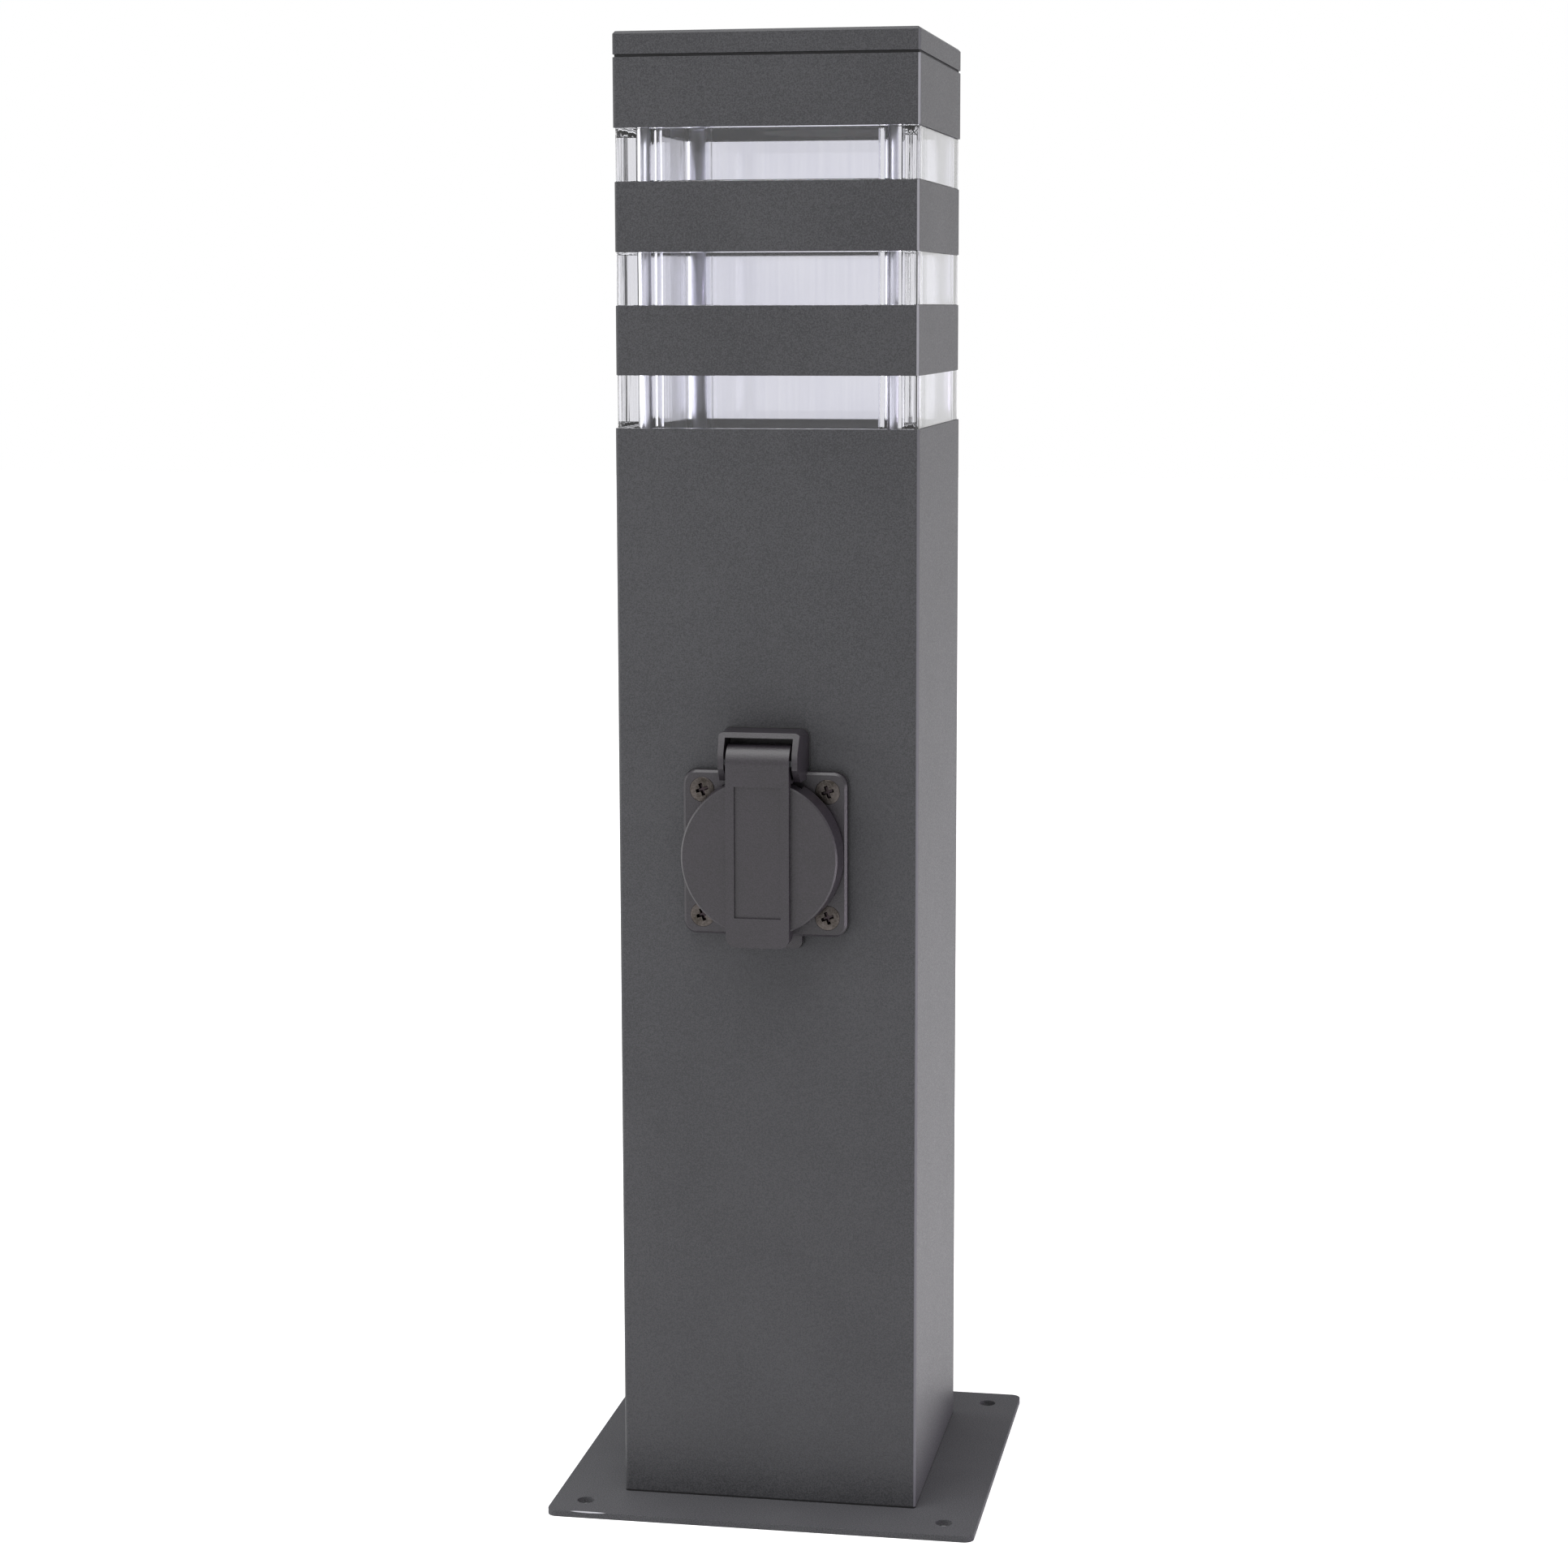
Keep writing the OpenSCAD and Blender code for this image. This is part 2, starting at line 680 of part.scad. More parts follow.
// Tray that closes the post under the lamp head, with four flaps folded down
module head_tray() {
    tray_w = post_in - 4 * fit_gap;
    flap_l = post_in - 2 * (gusset_leg + flap_gap);
    color("#505053") difference() {
        union() {
            translate([0, 0, gusset_top]) linear_extrude(tray_t) rounded_square(tray_w, tray_w, post_r);
            for (turn = [0:90:270]) rotate([0, 0, turn])
                translate([-flap_l / 2, tray_w / 2 - tray_t, gusset_top - tray_flap])
                cube([flap_l, tray_t, tray_flap + tray_t / 2]);
        }
        rod_holes(gusset_top, tray_t);
    }
}

// A clear ring: the window, a spigot into the piece below and one into the piece above
module clear_ring(z, room_below, room_above) {
    hollow = ring_w - 2 * ring_wall;
    color("#d5d8de", 0.45) difference() {
        union() {
            translate([0, 0, z]) linear_extrude(window_h) rounded_square(ring_w, ring_w, ring_r);
            spigot(z - spigot_h, room_below);
            spigot(z + window_h - merge, room_above);
        }
        translate([0, 0, z - spigot_h - past]) linear_extrude(window_h + 2 * spigot_h + 2 * past)
            difference() {
                rounded_square(hollow, hollow, ring_r);
                at_corners(rod_at, rod_at) circle(r = boss_r);
            }
        rod_holes(z - spigot_h, window_h + 2 * spigot_h);
    }
}
module spigot(z, room) {
    w = room - 2 * fit_gap;
    translate([0, 0, z]) linear_extrude(spigot_h + merge) rounded_square(w, w, post_r);
}
module clear_ring_lower() { clear_ring(ring_1_z, post_in, band_in); }
module clear_ring_middle() { clear_ring(ring_2_z, band_in, band_in); }
module clear_ring_upper() { clear_ring(ring_3_z, band_in, housing_in); }

// The two bands between the windows, folded from sheet
module band(z) { color("#505053") square_tube(band_w, band_wall, band_r, z, band_h); }
module band_lower() { band(band_1_z); }
module band_upper() { band(band_2_z); }

// Lamp housing: a square tube with a floor, which carries the lamp
module head_housing() {
    color("#505053") difference() {
        union() {
            square_tube(housing_w, housing_wall, band_r, housing_z, housing_h);
            translate([0, 0, floor_z]) linear_extrude(housing_floor)
                square(housing_in + 2 * merge, center = true);
        }
        translate([0, 0, floor_z - past]) cylinder(r = lens_r, h = housing_floor + 2 * past);
        rod_holes(floor_z, housing_floor);
        lamp_screw_places() translate([0, 0, floor_z - past])
            cylinder(d = lamp_screw_d + 2 * thread_gap, h = housing_floor + 2 * past);
        cap_screw_places() translate([0, 0, -housing_wall - past])
            cylinder(d = m3_d + 2 * hole_gap, h = housing_wall + 2 * past);
    }
}
module lamp_screw_places() {
    for (turn = [45:90:315]) rotate([0, 0, turn]) translate([lamp_screw_circle, 0, 0]) children();
}
// The cap's two screws stand on the housing's back face
module cap_screw_places() {
    for (side = [-1, 1]) translate([side * cap_screw_x, housing_w / 2, cap_screw_z]) rotate([-90, 0, 0])
        children();
}

// Thin seal between the housing and the cap
module cap_seal() {
    w = housing_w - 2 * cap_seal_back;
    color("#1c1c1e") square_tube(w, housing_wall - cap_seal_back, band_r / 2, seal_z, cap_seal_t);
}

// Flat cap with a lip that goes down into the housing
module top_cap() {
    color("#505053") difference() {
        union() {
            translate([0, 0, cap_z]) bevelled_plate(housing_w, housing_w, band_r, cap_h, cap_bevel);
            translate([0, 0, seal_z - cap_lip_h]) linear_extrude(cap_lip_h + cap_seal_t + merge)
                rounded_square(lip_w, lip_w, band_r);
        }
        hollow = lip_w - 2 * cap_lip_t;
        translate([0, 0, seal_z - cap_lip_h - past])
            linear_extrude(cap_lip_h + cap_seal_t + cap_h - cap_t + past)
                rounded_square(hollow, hollow, band_r);
        cap_screw_places() translate([0, 0, -housing_wall - fit_gap - cap_lip_t - past])
            cylinder(d = m3_d + 2 * thread_gap, h = cap_lip_t + 2 * past);
    }
}
module cap_screws() {
    color("#8f8a7d") cap_screw_places()
        pan_screw(m3_d, housing_wall + fit_gap + cap_lip_t, m3_head_d, m3_head_h);
}

// Three solid tie rods and, at the back left, the hollow one that carries the lamp lead
module tie_rods() {
    color("#c9ccd0") for (place = [[-1, -1], [1, -1], [1, 1]])
        translate([place[0] * rod_at, place[1] * rod_at, rod_z0]) cylinder(d = rod_d, h = rod_z1 - rod_z0);
}
module hollow_tie_rod() {
    color("#c9ccd0") translate([-rod_at, rod_at, rod_z0]) difference() {
        cylinder(d = rod_d, h = rod_z1 - rod_z0);
        translate([0, 0, -past]) cylinder(d = hollow_rod_bore, h = rod_z1 - rod_z0 + 2 * past);
    }
}
module tie_nuts() {
    color("#b9bbbd") at_corners(rod_at, rod_at)
        for (z = [gusset_z - rod_washer_t - rod_nut_h, floor_top + rod_washer_t])
        translate([0, 0, z]) hex_nut(rod_nut_af, rod_nut_h, rod_d + 2 * thread_gap);
}
module tie_washers() {
    color("#b9bbbd") at_corners(rod_at, rod_at) for (z = [gusset_z - rod_washer_t, floor_top])
        translate([0, 0, z]) difference() {
            cylinder(d = rod_washer_d, h = rod_washer_t);
            translate([0, 0, -past]) cylinder(d = rod_d + 2 * hole_gap, h = rod_washer_t + 2 * past);
        }
}

// Diffuser disc in the housing's floor, flush below, with a rim that rests on the floor
module diffuser() {
    color("#f2f2ee") translate([0, 0, floor_z]) {
        cylinder(r = lens_r - hole_gap, h = housing_floor + lens_rim_t);
        translate([0, 0, housing_floor]) cylinder(r = rim_r, h = lens_rim_t);
    }
}

// Heat spreader: a turned cup over the board, open downwards
module heat_spreader() {
    color("#a9abad") difference() {
        translate([0, 0, floor_top]) cylinder(d = spreader_d, h = spreader_room + spreader_t);
        translate([0, 0, floor_top - past]) cylinder(r = spreader_in_r, h = spreader_room + past);
        lamp_screw_places() translate([0, 0, floor_top - past])
            cylinder(d = lamp_screw_d + 2 * hole_gap, h = spreader_room + spreader_t + 2 * past);
        translate([lead_hole_at, -lead_hole_at, board_top - past])
            cylinder(d = lamp_lead_d + 4 * hole_gap, h = spreader_t + 2 * past);
        for (side = [-1, 1]) translate([side * board_screw_at, 0, board_top - past])
            cylinder(d = lamp_screw_d + 2 * thread_gap, h = spreader_t - spreader_skin + past);
    }
}
module led_board() {
    color("#e8e8e4") translate([0, 0, board_top - board_t]) difference() {
        cylinder(d = board_d, h = board_t);
        for (side = [-1, 1]) translate([side * board_screw_at, 0, -past])
            cylinder(d = lamp_screw_d + 2 * hole_gap, h = board_t + 2 * past);
    }
}
module led_chips() {
    color("#f0d24a") for (i = [0:chip_count - 1]) rotate([0, 0, 360 * (i + 0.5) / chip_count])
        translate([chip_circle - chip_w / 2, -chip_w / 2, board_top - board_t - chip_t])
        cube([chip_w, chip_w, chip_t]);
}
module board_screws() {
    color("#c9ccd0") for (side = [-1, 1]) translate([side * board_screw_at, 0, board_top - board_t])
        rotate([180, 0, 0]) pan_screw(lamp_screw_d, board_t + board_screw_bite, lamp_screw_head,
            lamp_screw_head_h);
}
module spreader_screws() {
    color("#c9ccd0") lamp_screw_places() translate([0, 0, spreader_top])
        pan_screw(lamp_screw_d, spreader_top - floor_z, lamp_screw_head, lamp_screw_head_h);
}

// LED driver on the post's back wall, with an ear at each end
module led_driver() {
    color("#d9d9d6") difference() {
        union() {
            translate([0, driver_y + driver_d / 2, driver_z]) linear_extrude(driver_h)
                rounded_square(driver_w, driver_d, driver_r);
            translate([-ear_l, post_in / 2 - ear_t, driver_z - ear_l])
                cube([2 * ear_l, ear_t, driver_h + 2 * ear_l]);
        }
        driver_rivet_places() translate([0, past, 0]) rotate([90, 0, 0])
            cylinder(d = rivet_d + 2 * thread_gap, h = post_wall + ear_t + 2 * past);
    }
}
module driver_rivets() { color("#8f9194") driver_rivet_places() rivet(post_wall + ear_t); }

// Outline of the gasket and of what it seals: the flange, the hinge housing and the lower lug
module socket_outline(rim) {
    rounded_square(flange_w + 2 * rim, flange_w + 2 * rim, flange_r + rim);
    rounded_square(2 * (cheek_back + rim), 2 * (hinge_top + rim), hinge_corner_r + rim);
}
module gasket_outline() {
    difference() {
        socket_outline(gasket_rim);
        translate([0, -hinge_top - flange_w / 2]) square(2 * hinge_top, center = true);
    }
    lug_outline(gasket_rim);
}
module lug_outline(rim) {
    translate([0, -lug_drop / 2 - rim / 2]) rounded_square(2 * (lug_half + rim), lug_drop + rim, lug_r);
}
module socket_gasket() {
    color("#1c1c1e") on_socket() linear_extrude(gasket_t) difference() {
        gasket_outline();
        circle(r = cutout_r);
        at_corners(flange_screw_pitch / 2, flange_screw_pitch / 2) circle(d = flange_screw_d + 2 * hole_gap);
    }
}

// Socket frame: flange, cup, collar, hinge housing and lower lug in one moulding
module socket_frame() {
    color("#4f4a4e") on_socket() difference() {
        union() {
            translate([0, 0, gasket_t]) bevelled_plate(flange_w, flange_w, flange_r, flange_t, flange_bevel);
            translate([0, 0, gasket_t]) linear_extrude(flange_t - flange_bevel) lug_outline(0);
            translate([0, 0, cup_back]) cylinder(r = cup_r, h = collar_front - cup_back);
            hinge_housing();
        }
        translate([0, 0, recess_floor]) cylinder(d = recess_d, h = recess_depth + past);
        at_corners(flange_screw_pitch / 2, flange_screw_pitch / 2) flange_screw_hole();
        for (side = [-1, 1]) translate([side * pin_pitch / 2, 0, cup_back - past])
            cylinder(d = pin_hole_d, h = cup_floor + 2 * past);
        translate([0, 0, cup_back - past]) cylinder(d = m3_d + 2 * hole_gap, h = cup_floor + 2 * past);
        for (side = [-1, 1]) translate([0, side * (clip_at + clip_t / 2), recess_floor - cup_floor / 2])
            cube([clip_w + 4 * fit_gap, clip_t + 4 * fit_gap, cup_floor + 2 * past], center = true);
        translate([-cheek_back - past, hinge_y, hinge_d]) rotate([0, 90, 0])
            cylinder(r = hinge_bore_r, h = cheek_back + past + hinge_pin_l / 2 + hinge_gap);
    }
}
module flange_screw_hole() {
    edge = flange_screw_head / 2 + hole_gap / 2;
    translate([0, 0, gasket_t - past]) cylinder(d = flange_screw_d + 2 * hole_gap, h = flange_t + 2 * past);
    translate([0, 0, flange_front - screw_head_h])
        cylinder(r1 = edge - screw_head_h, r2 = edge + merge, h = screw_head_h + merge);
}

// Hinge housing: two cheeks and a bar over them, tapering forwards, from the gasket outwards
module hinge_housing() {
    low = flange_w / 2 - flange_r;
    plan = [[-cheek_back, gasket_t], [cheek_back, gasket_t], [cheek_nose, nose_reach],
        [-cheek_nose, nose_reach]];
    side = [[gasket_t, low], [flange_front, low], [flange_front, cheek_low],
        [nose_reach - nose_slope, cheek_low], [nose_reach, hinge_y - nose_below],
        [nose_reach, hinge_y + nose_above], [bar_reach, hinge_top], [gasket_t, hinge_top]];
    difference() {
        intersection() {
            rotate([-90, 0, 0]) mirror([0, 1, 0]) linear_extrude(hinge_top) polygon(plan);
            rotate([0, -90, 0]) linear_extrude(4 * cheek_back, center = true) polygon(side);
            linear_extrude(nose_reach + past) rounded_square(2 * cheek_back, 2 * hinge_top, hinge_corner_r);
        }
        translate([-cheek_in, cheek_low - past, flange_front])
            cube([2 * cheek_in, hinge_top - bar_t - cheek_low + past, nose_reach]);
    }
}

module socket_screws() {
    color("#a39a83") on_socket() at_corners(flange_screw_pitch / 2, flange_screw_pitch / 2) difference() {
        rotate_extrude() polygon([[0, flange_front], [flange_screw_head / 2, flange_front],
            [flange_screw_d / 2, flange_front - screw_head_h],
            [flange_screw_d / 2, flange_front - flange_screw_l], [0, flange_front - flange_screw_l]]);
        translate([0, 0, flange_front]) rotate([0, 0, screw_turn])
            cross_recess(flange_screw_head * cross_share);
    }
}
module socket_nuts() {
    color("#b9bbbd") on_socket() at_corners(flange_screw_pitch / 2, flange_screw_pitch / 2)
        translate([0, 0, -post_wall - flange_nut_h])
            hex_nut(flange_nut_af, flange_nut_h, flange_screw_d + 2 * thread_gap);
}

// Contact block behind the cup, with a pocket for each sleeve
module contact_block() {
    color("#2e2e30") on_socket() difference() {
        translate([0, 0, block_back]) cylinder(d = block_d, h = block_depth);
        for (side = [-1, 1]) translate([side * pin_pitch / 2, 0, cup_back - sleeve_l - fit_gap])
            cylinder(r = sleeve_r + 2 * thread_gap, h = sleeve_l + past);
        translate([0, 0, block_back - past]) cylinder(d = m3_d + 4 * thread_gap, h = block_depth + 2 * past);
        for (side = [-1, 1]) translate([0, side * (clip_at + clip_t / 2), cup_back])
            cube([clip_w + 4 * fit_gap, clip_t + 4 * fit_gap, 4 * clip_t], center = true);
        translate([-clip_w / 2 - 2 * fit_gap, -clip_at - clip_t, cup_back - clip_t - fit_gap])
            cube([clip_w + 4 * fit_gap, 2 * (clip_at + clip_t), clip_t + fit_gap + past]);
        terminal_screw_places() {
            translate([0, 0, -terminal_screw_l])
                cylinder(d = m3_d + 4 * thread_gap, h = terminal_screw_l + past);
            translate([0, 0, -terminal_sink])
                cylinder(d = terminal_head_d + 2 * hole_gap, h = terminal_sink + past);
        }
    }
}
// Terminal screws reach in from the block's side: live at the left, neutral at the right
module terminal_screw_places() {
    for (side = [-1, 1]) translate([side * block_d / 2, 0, block_back + block_depth / 2])
        rotate([0, side * 90, 0]) children();
}
module terminal_screws() {
    color("#b9a45a") on_socket() terminal_screw_places() translate([0, 0, -terminal_sink])
        pan_screw(m3_d, terminal_screw_l - terminal_sink, terminal_head_d, terminal_head_h);
}
module contact_sleeves() {
    color("#c8a45c") on_socket() for (side = [-1, 1])
        translate([side * pin_pitch / 2, 0, cup_back - sleeve_l]) difference() {
            cylinder(r = sleeve_r, h = sleeve_l);
            translate([0, 0, sleeve_floor]) cylinder(r = sleeve_r - sleeve_wall, h = sleeve_l);
        }
}

// Earth clip: a strip behind the cup's floor, with an arm forward at the top and at the bottom
module earth_clip() {
    color("#c8a45c") on_socket() difference() {
        union() {
            translate([-clip_w / 2, -clip_at - clip_t, cup_back - clip_t])
                cube([clip_w, 2 * (clip_at + clip_t), clip_t]);
            for (side = [0, 1]) mirror([0, side, 0]) translate([-clip_w / 2, clip_at, cup_back - clip_t])
                cube([clip_w, clip_t, clip_t + cup_floor + clip_reach]);
        }
        translate([0, 0, cup_back - clip_t - past]) cylinder(d = m3_d + 2 * hole_gap, h = clip_t + 2 * past);
    }
}

// Cover over the back of the contact block, with a hole for each lead
module back_cover() {
    color("#2e2e30") on_socket() difference() {
        translate([0, 0, cover_back]) cylinder(d = block_d - 2 * cover_edge, h = cover_t);
        translate([0, 0, cover_back - past]) cylinder(d = m3_d + 2 * thread_gap, h = cover_t + 2 * past);
        for (place = lead_ends()) translate([place[0], place[1], cover_back - past])
            cylinder(d = lead_d + 2 * hole_gap, h = cover_t + 2 * past);
    }
}
// Where the live, earth and neutral leads end on the contact block's back
function lead_ends() = [[-pin_pitch / 2, 0], [0, -terminal_drop], [pin_pitch / 2, 0]];
module centre_screw() {
    color("#a39a83") on_socket() translate([0, 0, recess_floor])
        pan_screw(m3_d, cup_floor + block_depth + cover_t, m3_head_d, m3_head_h);
}

// Lid: disc and skirt, a strap across them that rolls round the hinge pin, and a finger tab
module socket_lid() {
    color("#4f4a4e") on_socket() difference() {
        union() {
            difference() {
                union() {
                    rotate_extrude() polygon([[0, disc_back], [skirt_in_r - merge, disc_back],
                        [skirt_in_r - merge, skirt_back],
                        [lid_d / 2 + skirt_flare, skirt_back], [lid_d / 2, lid_front - disc_bevel],
                        [lid_d / 2 - disc_bevel, lid_front], [0, lid_front]]);
                    translate([0, 0, strap_front - tab_depth]) linear_extrude(tab_depth)
                        strap_outline(tab_root - skirt_in_r);
                }
                translate([0, 0, skirt_back - past])
                    cylinder(r = skirt_in_r, h = disc_back - skirt_back + past);
                translate([-lid_slot_w / 2, 0, skirt_back - past])
                    cube([lid_slot_w, lid_d, disc_back - skirt_back + past - lid_slot_skin]);
            }
            translate([0, 0, lid_front - merge]) linear_extrude(strap_proud + merge) strap_outline(hinge_y);
            translate([-strap_w / 2, lid_d / 2 - strap_root, strap_front - strap_web])
                cube([strap_w, hinge_y - lid_d / 2 + strap_root, strap_web]);
            translate([0, hinge_y, hinge_d]) rotate([0, 90, 0])
                cylinder(r = barrel_r, h = strap_w, center = true);
        }
        translate([0, hinge_y, hinge_d]) rotate([0, 90, 0]) {
            cylinder(r = hinge_bore_r, h = strap_w + 2 * past, center = true);
            cylinder(r = spring_pocket_r, h = spring_pocket_w, center = true);
        }
        translate([-spring_pocket_w / 2, hinge_y - spring_pocket_r, 0])
            cube([spring_pocket_w, 2 * spring_pocket_r, hinge_d]);
        translate([-panel_w / 2, -panel_drop, strap_front - panel_deep])
            cube([panel_w, panel_h, panel_deep + past]);
    }
}
// The strap from its rounded lower end up to a height
module strap_outline(top) {
    h = top + strap_drop;
    translate([0, top - h / 2]) rounded_square(strap_w, h, strap_r);
    translate([-strap_w / 2, top - strap_r]) square([strap_w, strap_r]);
}

// Seal ring in the lid, just off the collar's rim
module lid_seal() {
    out_r = cup_r + cup_gap;
    color("#1c1c1e") on_socket() translate([0, 0, collar_front + hole_gap]) difference() {
        cylinder(r = out_r, h = disc_back - collar_front - hole_gap);
        translate([0, 0, -past]) cylinder(r = out_r - seal_w, h = disc_back - collar_front + past);
    }
}
module hinge_pin() {
    color("#c9ccd0") on_socket() translate([0, hinge_y, hinge_d]) rotate([0, 90, 0])
        cylinder(d = hinge_pin_d, h = hinge_pin_l, center = true);
}

// Torsion spring round the pin: a leg back to the housing, the coil, and a leg forward into the lid
module lid_spring() {
    span = spring_pocket_w - 2 * spring_side_gap;
    steps = 8 * spring_turns;
    coil = [for (i = [0:steps]) let (turn = -90 + 360 * i / 8)
        [span * (i / steps - 0.5), hinge_y + spring_coil_r * sin(turn), hinge_d + spring_coil_r * cos(turn)]];
    low = hinge_y - spring_coil_r;
    back_leg = [[-span / 2, low, flange_front + 0.3], [-span / 2, low, flange_front + 2]];
    front_leg = [[span / 2, low, hinge_d + 1], [span / 2, low, hinge_d + 1.9]];
    color("#c9ccd0") on_socket()
        lead_tube(concat(back_leg, coil, front_leg), spring_wire_d / 2, wire_sides, [1, 0, 0]);
}

// Junction box on the post's back wall, open to the front, with a pillar for each lid screw
module junction_box() {
    color("#8e9196") difference() {
        union() {
            box_shape(box_y, box_d);
            box_screw_places() translate([0, box_y, 0]) rotate([-90, 0, 0])
                cylinder(r = pillar_r, h = box_d - merge);
        }
        difference() {
            translate([0, box_y - past, box_mid_z]) rotate([-90, 0, 0])
                linear_extrude(box_d - box_wall + past)
                rounded_square(box_w - 2 * box_wall, box_h - 2 * box_wall, box_r - box_wall / 2);
            box_screw_places() translate([0, box_y, 0]) rotate([-90, 0, 0]) cylinder(r = pillar_r, h = box_d);
        }
        box_screw_places() translate([0, box_y - past, 0]) rotate([-90, 0, 0])
            cylinder(d = m3_d + 2 * thread_gap, h = pillar_hole);
        box_rivet_places() translate([0, past, 0]) rotate([90, 0, 0])
            cylinder(d = rivet_d + 2 * thread_gap, h = post_wall + box_wall + 2 * past);
        translate([0, supply_gland_y, box_z - past])
            cylinder(r = supply_thread_r + thread_gap, h = box_wall + 2 * past);
        translate([lead_gland_x, lead_gland_y, box_top - box_wall - past])
            cylinder(r = lead_thread_r + thread_gap, h = box_wall + 2 * past);
        translate([driver_gland_x, lead_gland_y, box_top - box_wall - past])
            cylinder(r = driver_thread_r + thread_gap, h = box_wall + 2 * past);
    }
}
// The box's outline, from y towards the post's back
module box_shape(y, depth) {
    translate([0, y, box_mid_z]) rotate([-90, 0, 0]) linear_extrude(depth)
        rounded_square(box_w, box_h, box_r);
}
module box_screw_places() {
    for (sx = [-1, 1], sz = [-1, 1])
        translate([sx * (box_w / 2 - box_screw_inset), 0, box_mid_z + sz * (box_h / 2 - box_screw_inset)])
            children();
}
module junction_lid() {
    color("#9a9da2") difference() {
        box_shape(box_y - box_lid_t, box_lid_t);
        box_screw_places() translate([0, box_y - box_lid_t - past, 0]) rotate([-90, 0, 0])
            cylinder(d = m3_d + 2 * hole_gap, h = box_lid_t + 2 * past);
    }
}
module junction_screws() {
    color("#c9ccd0") box_screw_places() translate([0, box_y - box_lid_t, 0]) rotate([90, 0, 0])
        pan_screw(m3_d, box_lid_t + box_screw_bite, m3_head_d, m3_head_h);
}
module box_rivets() { color("#8f9194") box_rivet_places() rivet(post_wall + box_wall); }

// Cable glands: a thread through the box's wall, a hexagon against it and a domed nut
module gland(thread_r) {
    nut_r = thread_r + gland_nut_rim;
    translate([0, 0, -box_wall - gland_tail]) cylinder(r = thread_r, h = box_wall + gland_tail + merge);
    cylinder(r = (thread_r + gland_hex_rim) / cos(30), h = gland_hex_h, $fn = 6);
    translate([0, 0, gland_hex_h - merge]) rotate_extrude()
        polygon([[0, 0], [nut_r, 0], [nut_r, gland_nut_h - gland_dome], [thread_r - gland_crown, gland_nut_h],
            [0, gland_nut_h]]);
}
module gland_bore(d) {
    translate([0, 0, -box_wall - gland_tail - past]) cylinder(d = d, h = gland_l + 2 * past);
}
module supply_gland() {
    color("#3a3a3c") translate([0, supply_gland_y, box_z]) rotate([180, 0, 0]) difference() {
        gland(supply_thread_r);
        gland_bore(supply_bore_d);
    }
}
module lead_glands() {
    color("#3a3a3c") translate([0, lead_gland_y, box_top]) {
        translate([lead_gland_x, 0, 0]) difference() {
            gland(lead_thread_r);
            for (i = [-1, 0, 1]) translate([i * lead_pitch, 0, 0]) gland_bore(lead_d + 2 * hole_gap);
        }
        translate([driver_gland_x, 0, 0]) difference() {
            gland(driver_thread_r);
            gland_bore(driver_lead_d + 2 * hole_gap);
        }
    }
}

// Terminal block on the box's back wall, with a screw well on each pole
module terminal_block() {
    color("#e4e2da") difference() {
        translate([-block_w / 2, terminal_y, terminal_z]) cube([block_w, terminal_d, terminal_h]);
        for (i = [-1, 0, 1], level = [0.3, 0.7])
            translate([i * pole_pitch, terminal_y - past, terminal_z + level * terminal_h])
            rotate([-90, 0, 0]) cylinder(d = well_d, h = well_h + past);
        for (i = [-1, 0, 1]) translate([i * pole_pitch, lead_start_y, terminal_z - past])
            cylinder(d = wire_hole_d, h = wire_hole_h + past);
    }
}

// A socket lead: up from its pole, through the gland, and forward to the contact block's back
module socket_lead(i, tint) {
    pole_x = i * pole_pitch;
    gland_x = lead_gland_x + i * lead_pitch;
    end = lead_ends()[i + 1];
    end_y = -post_w / 2 - block_back;
    end_z = socket_z + end[1];
    points = [[pole_x, lead_start_y, terminal_top], [pole_x, lead_start_y, terminal_top + 2.5],
        [pole_x, lead_start_y, terminal_top + 5],
        [(pole_x + gland_x) / 2, (lead_start_y + lead_gland_y) / 2, box_top - 17],
        [gland_x, lead_gland_y, box_top - 8], [gland_x, lead_gland_y, box_top - 5],
        [gland_x, lead_gland_y, box_top + 12.5], [gland_x, lead_gland_y, box_top + 16],
        [gland_x, lead_gland_y - 4, box_top + 36], [(gland_x + end[0]) / 2, 6, end_z - 9],
        [end[0], end_y + 12, end_z], [end[0], end_y + 6, end_z], [end[0], end_y, end_z]];
    color(tint) lead_tube(smooth_path(points, curve_steps), lead_r, lead_sides, [1, 0, 0]);
}
module lead_live() { socket_lead(-1, "#6b4226"); }
module lead_earth() { socket_lead(0, "#5d8a34"); }
module lead_neutral() { socket_lead(1, "#2f5fa8"); }

// The driver's supply lead: from the terminal block, through its gland and up to the driver
module driver_lead() {
    start_x = block_w / 2 - 3;
    points = [[start_x, lead_start_y, terminal_top], [start_x, lead_start_y, terminal_top + 3],
        [start_x, lead_start_y, terminal_top + 6], [driver_gland_x, lead_gland_y, box_top - 8],
        [driver_gland_x, lead_gland_y, box_top - 5], [driver_gland_x, lead_gland_y, box_top + 12.5],
        [driver_gland_x, lead_gland_y, box_top + 17], [driver_gland_x, lead_gland_y + 2, box_top + 44],
        [driver_lead_x + 1, driver_y + 9, driver_z - 24], [driver_lead_x, driver_y + 9, driver_z - 10],
        [driver_lead_x, driver_y + 9, driver_z - 5], [driver_lead_x, driver_y + 9, driver_z]];
    color("#d8d8d6") lead_tube(smooth_path(points, curve_steps), driver_lead_d / 2, lead_sides, [1, 0, 0]);
}

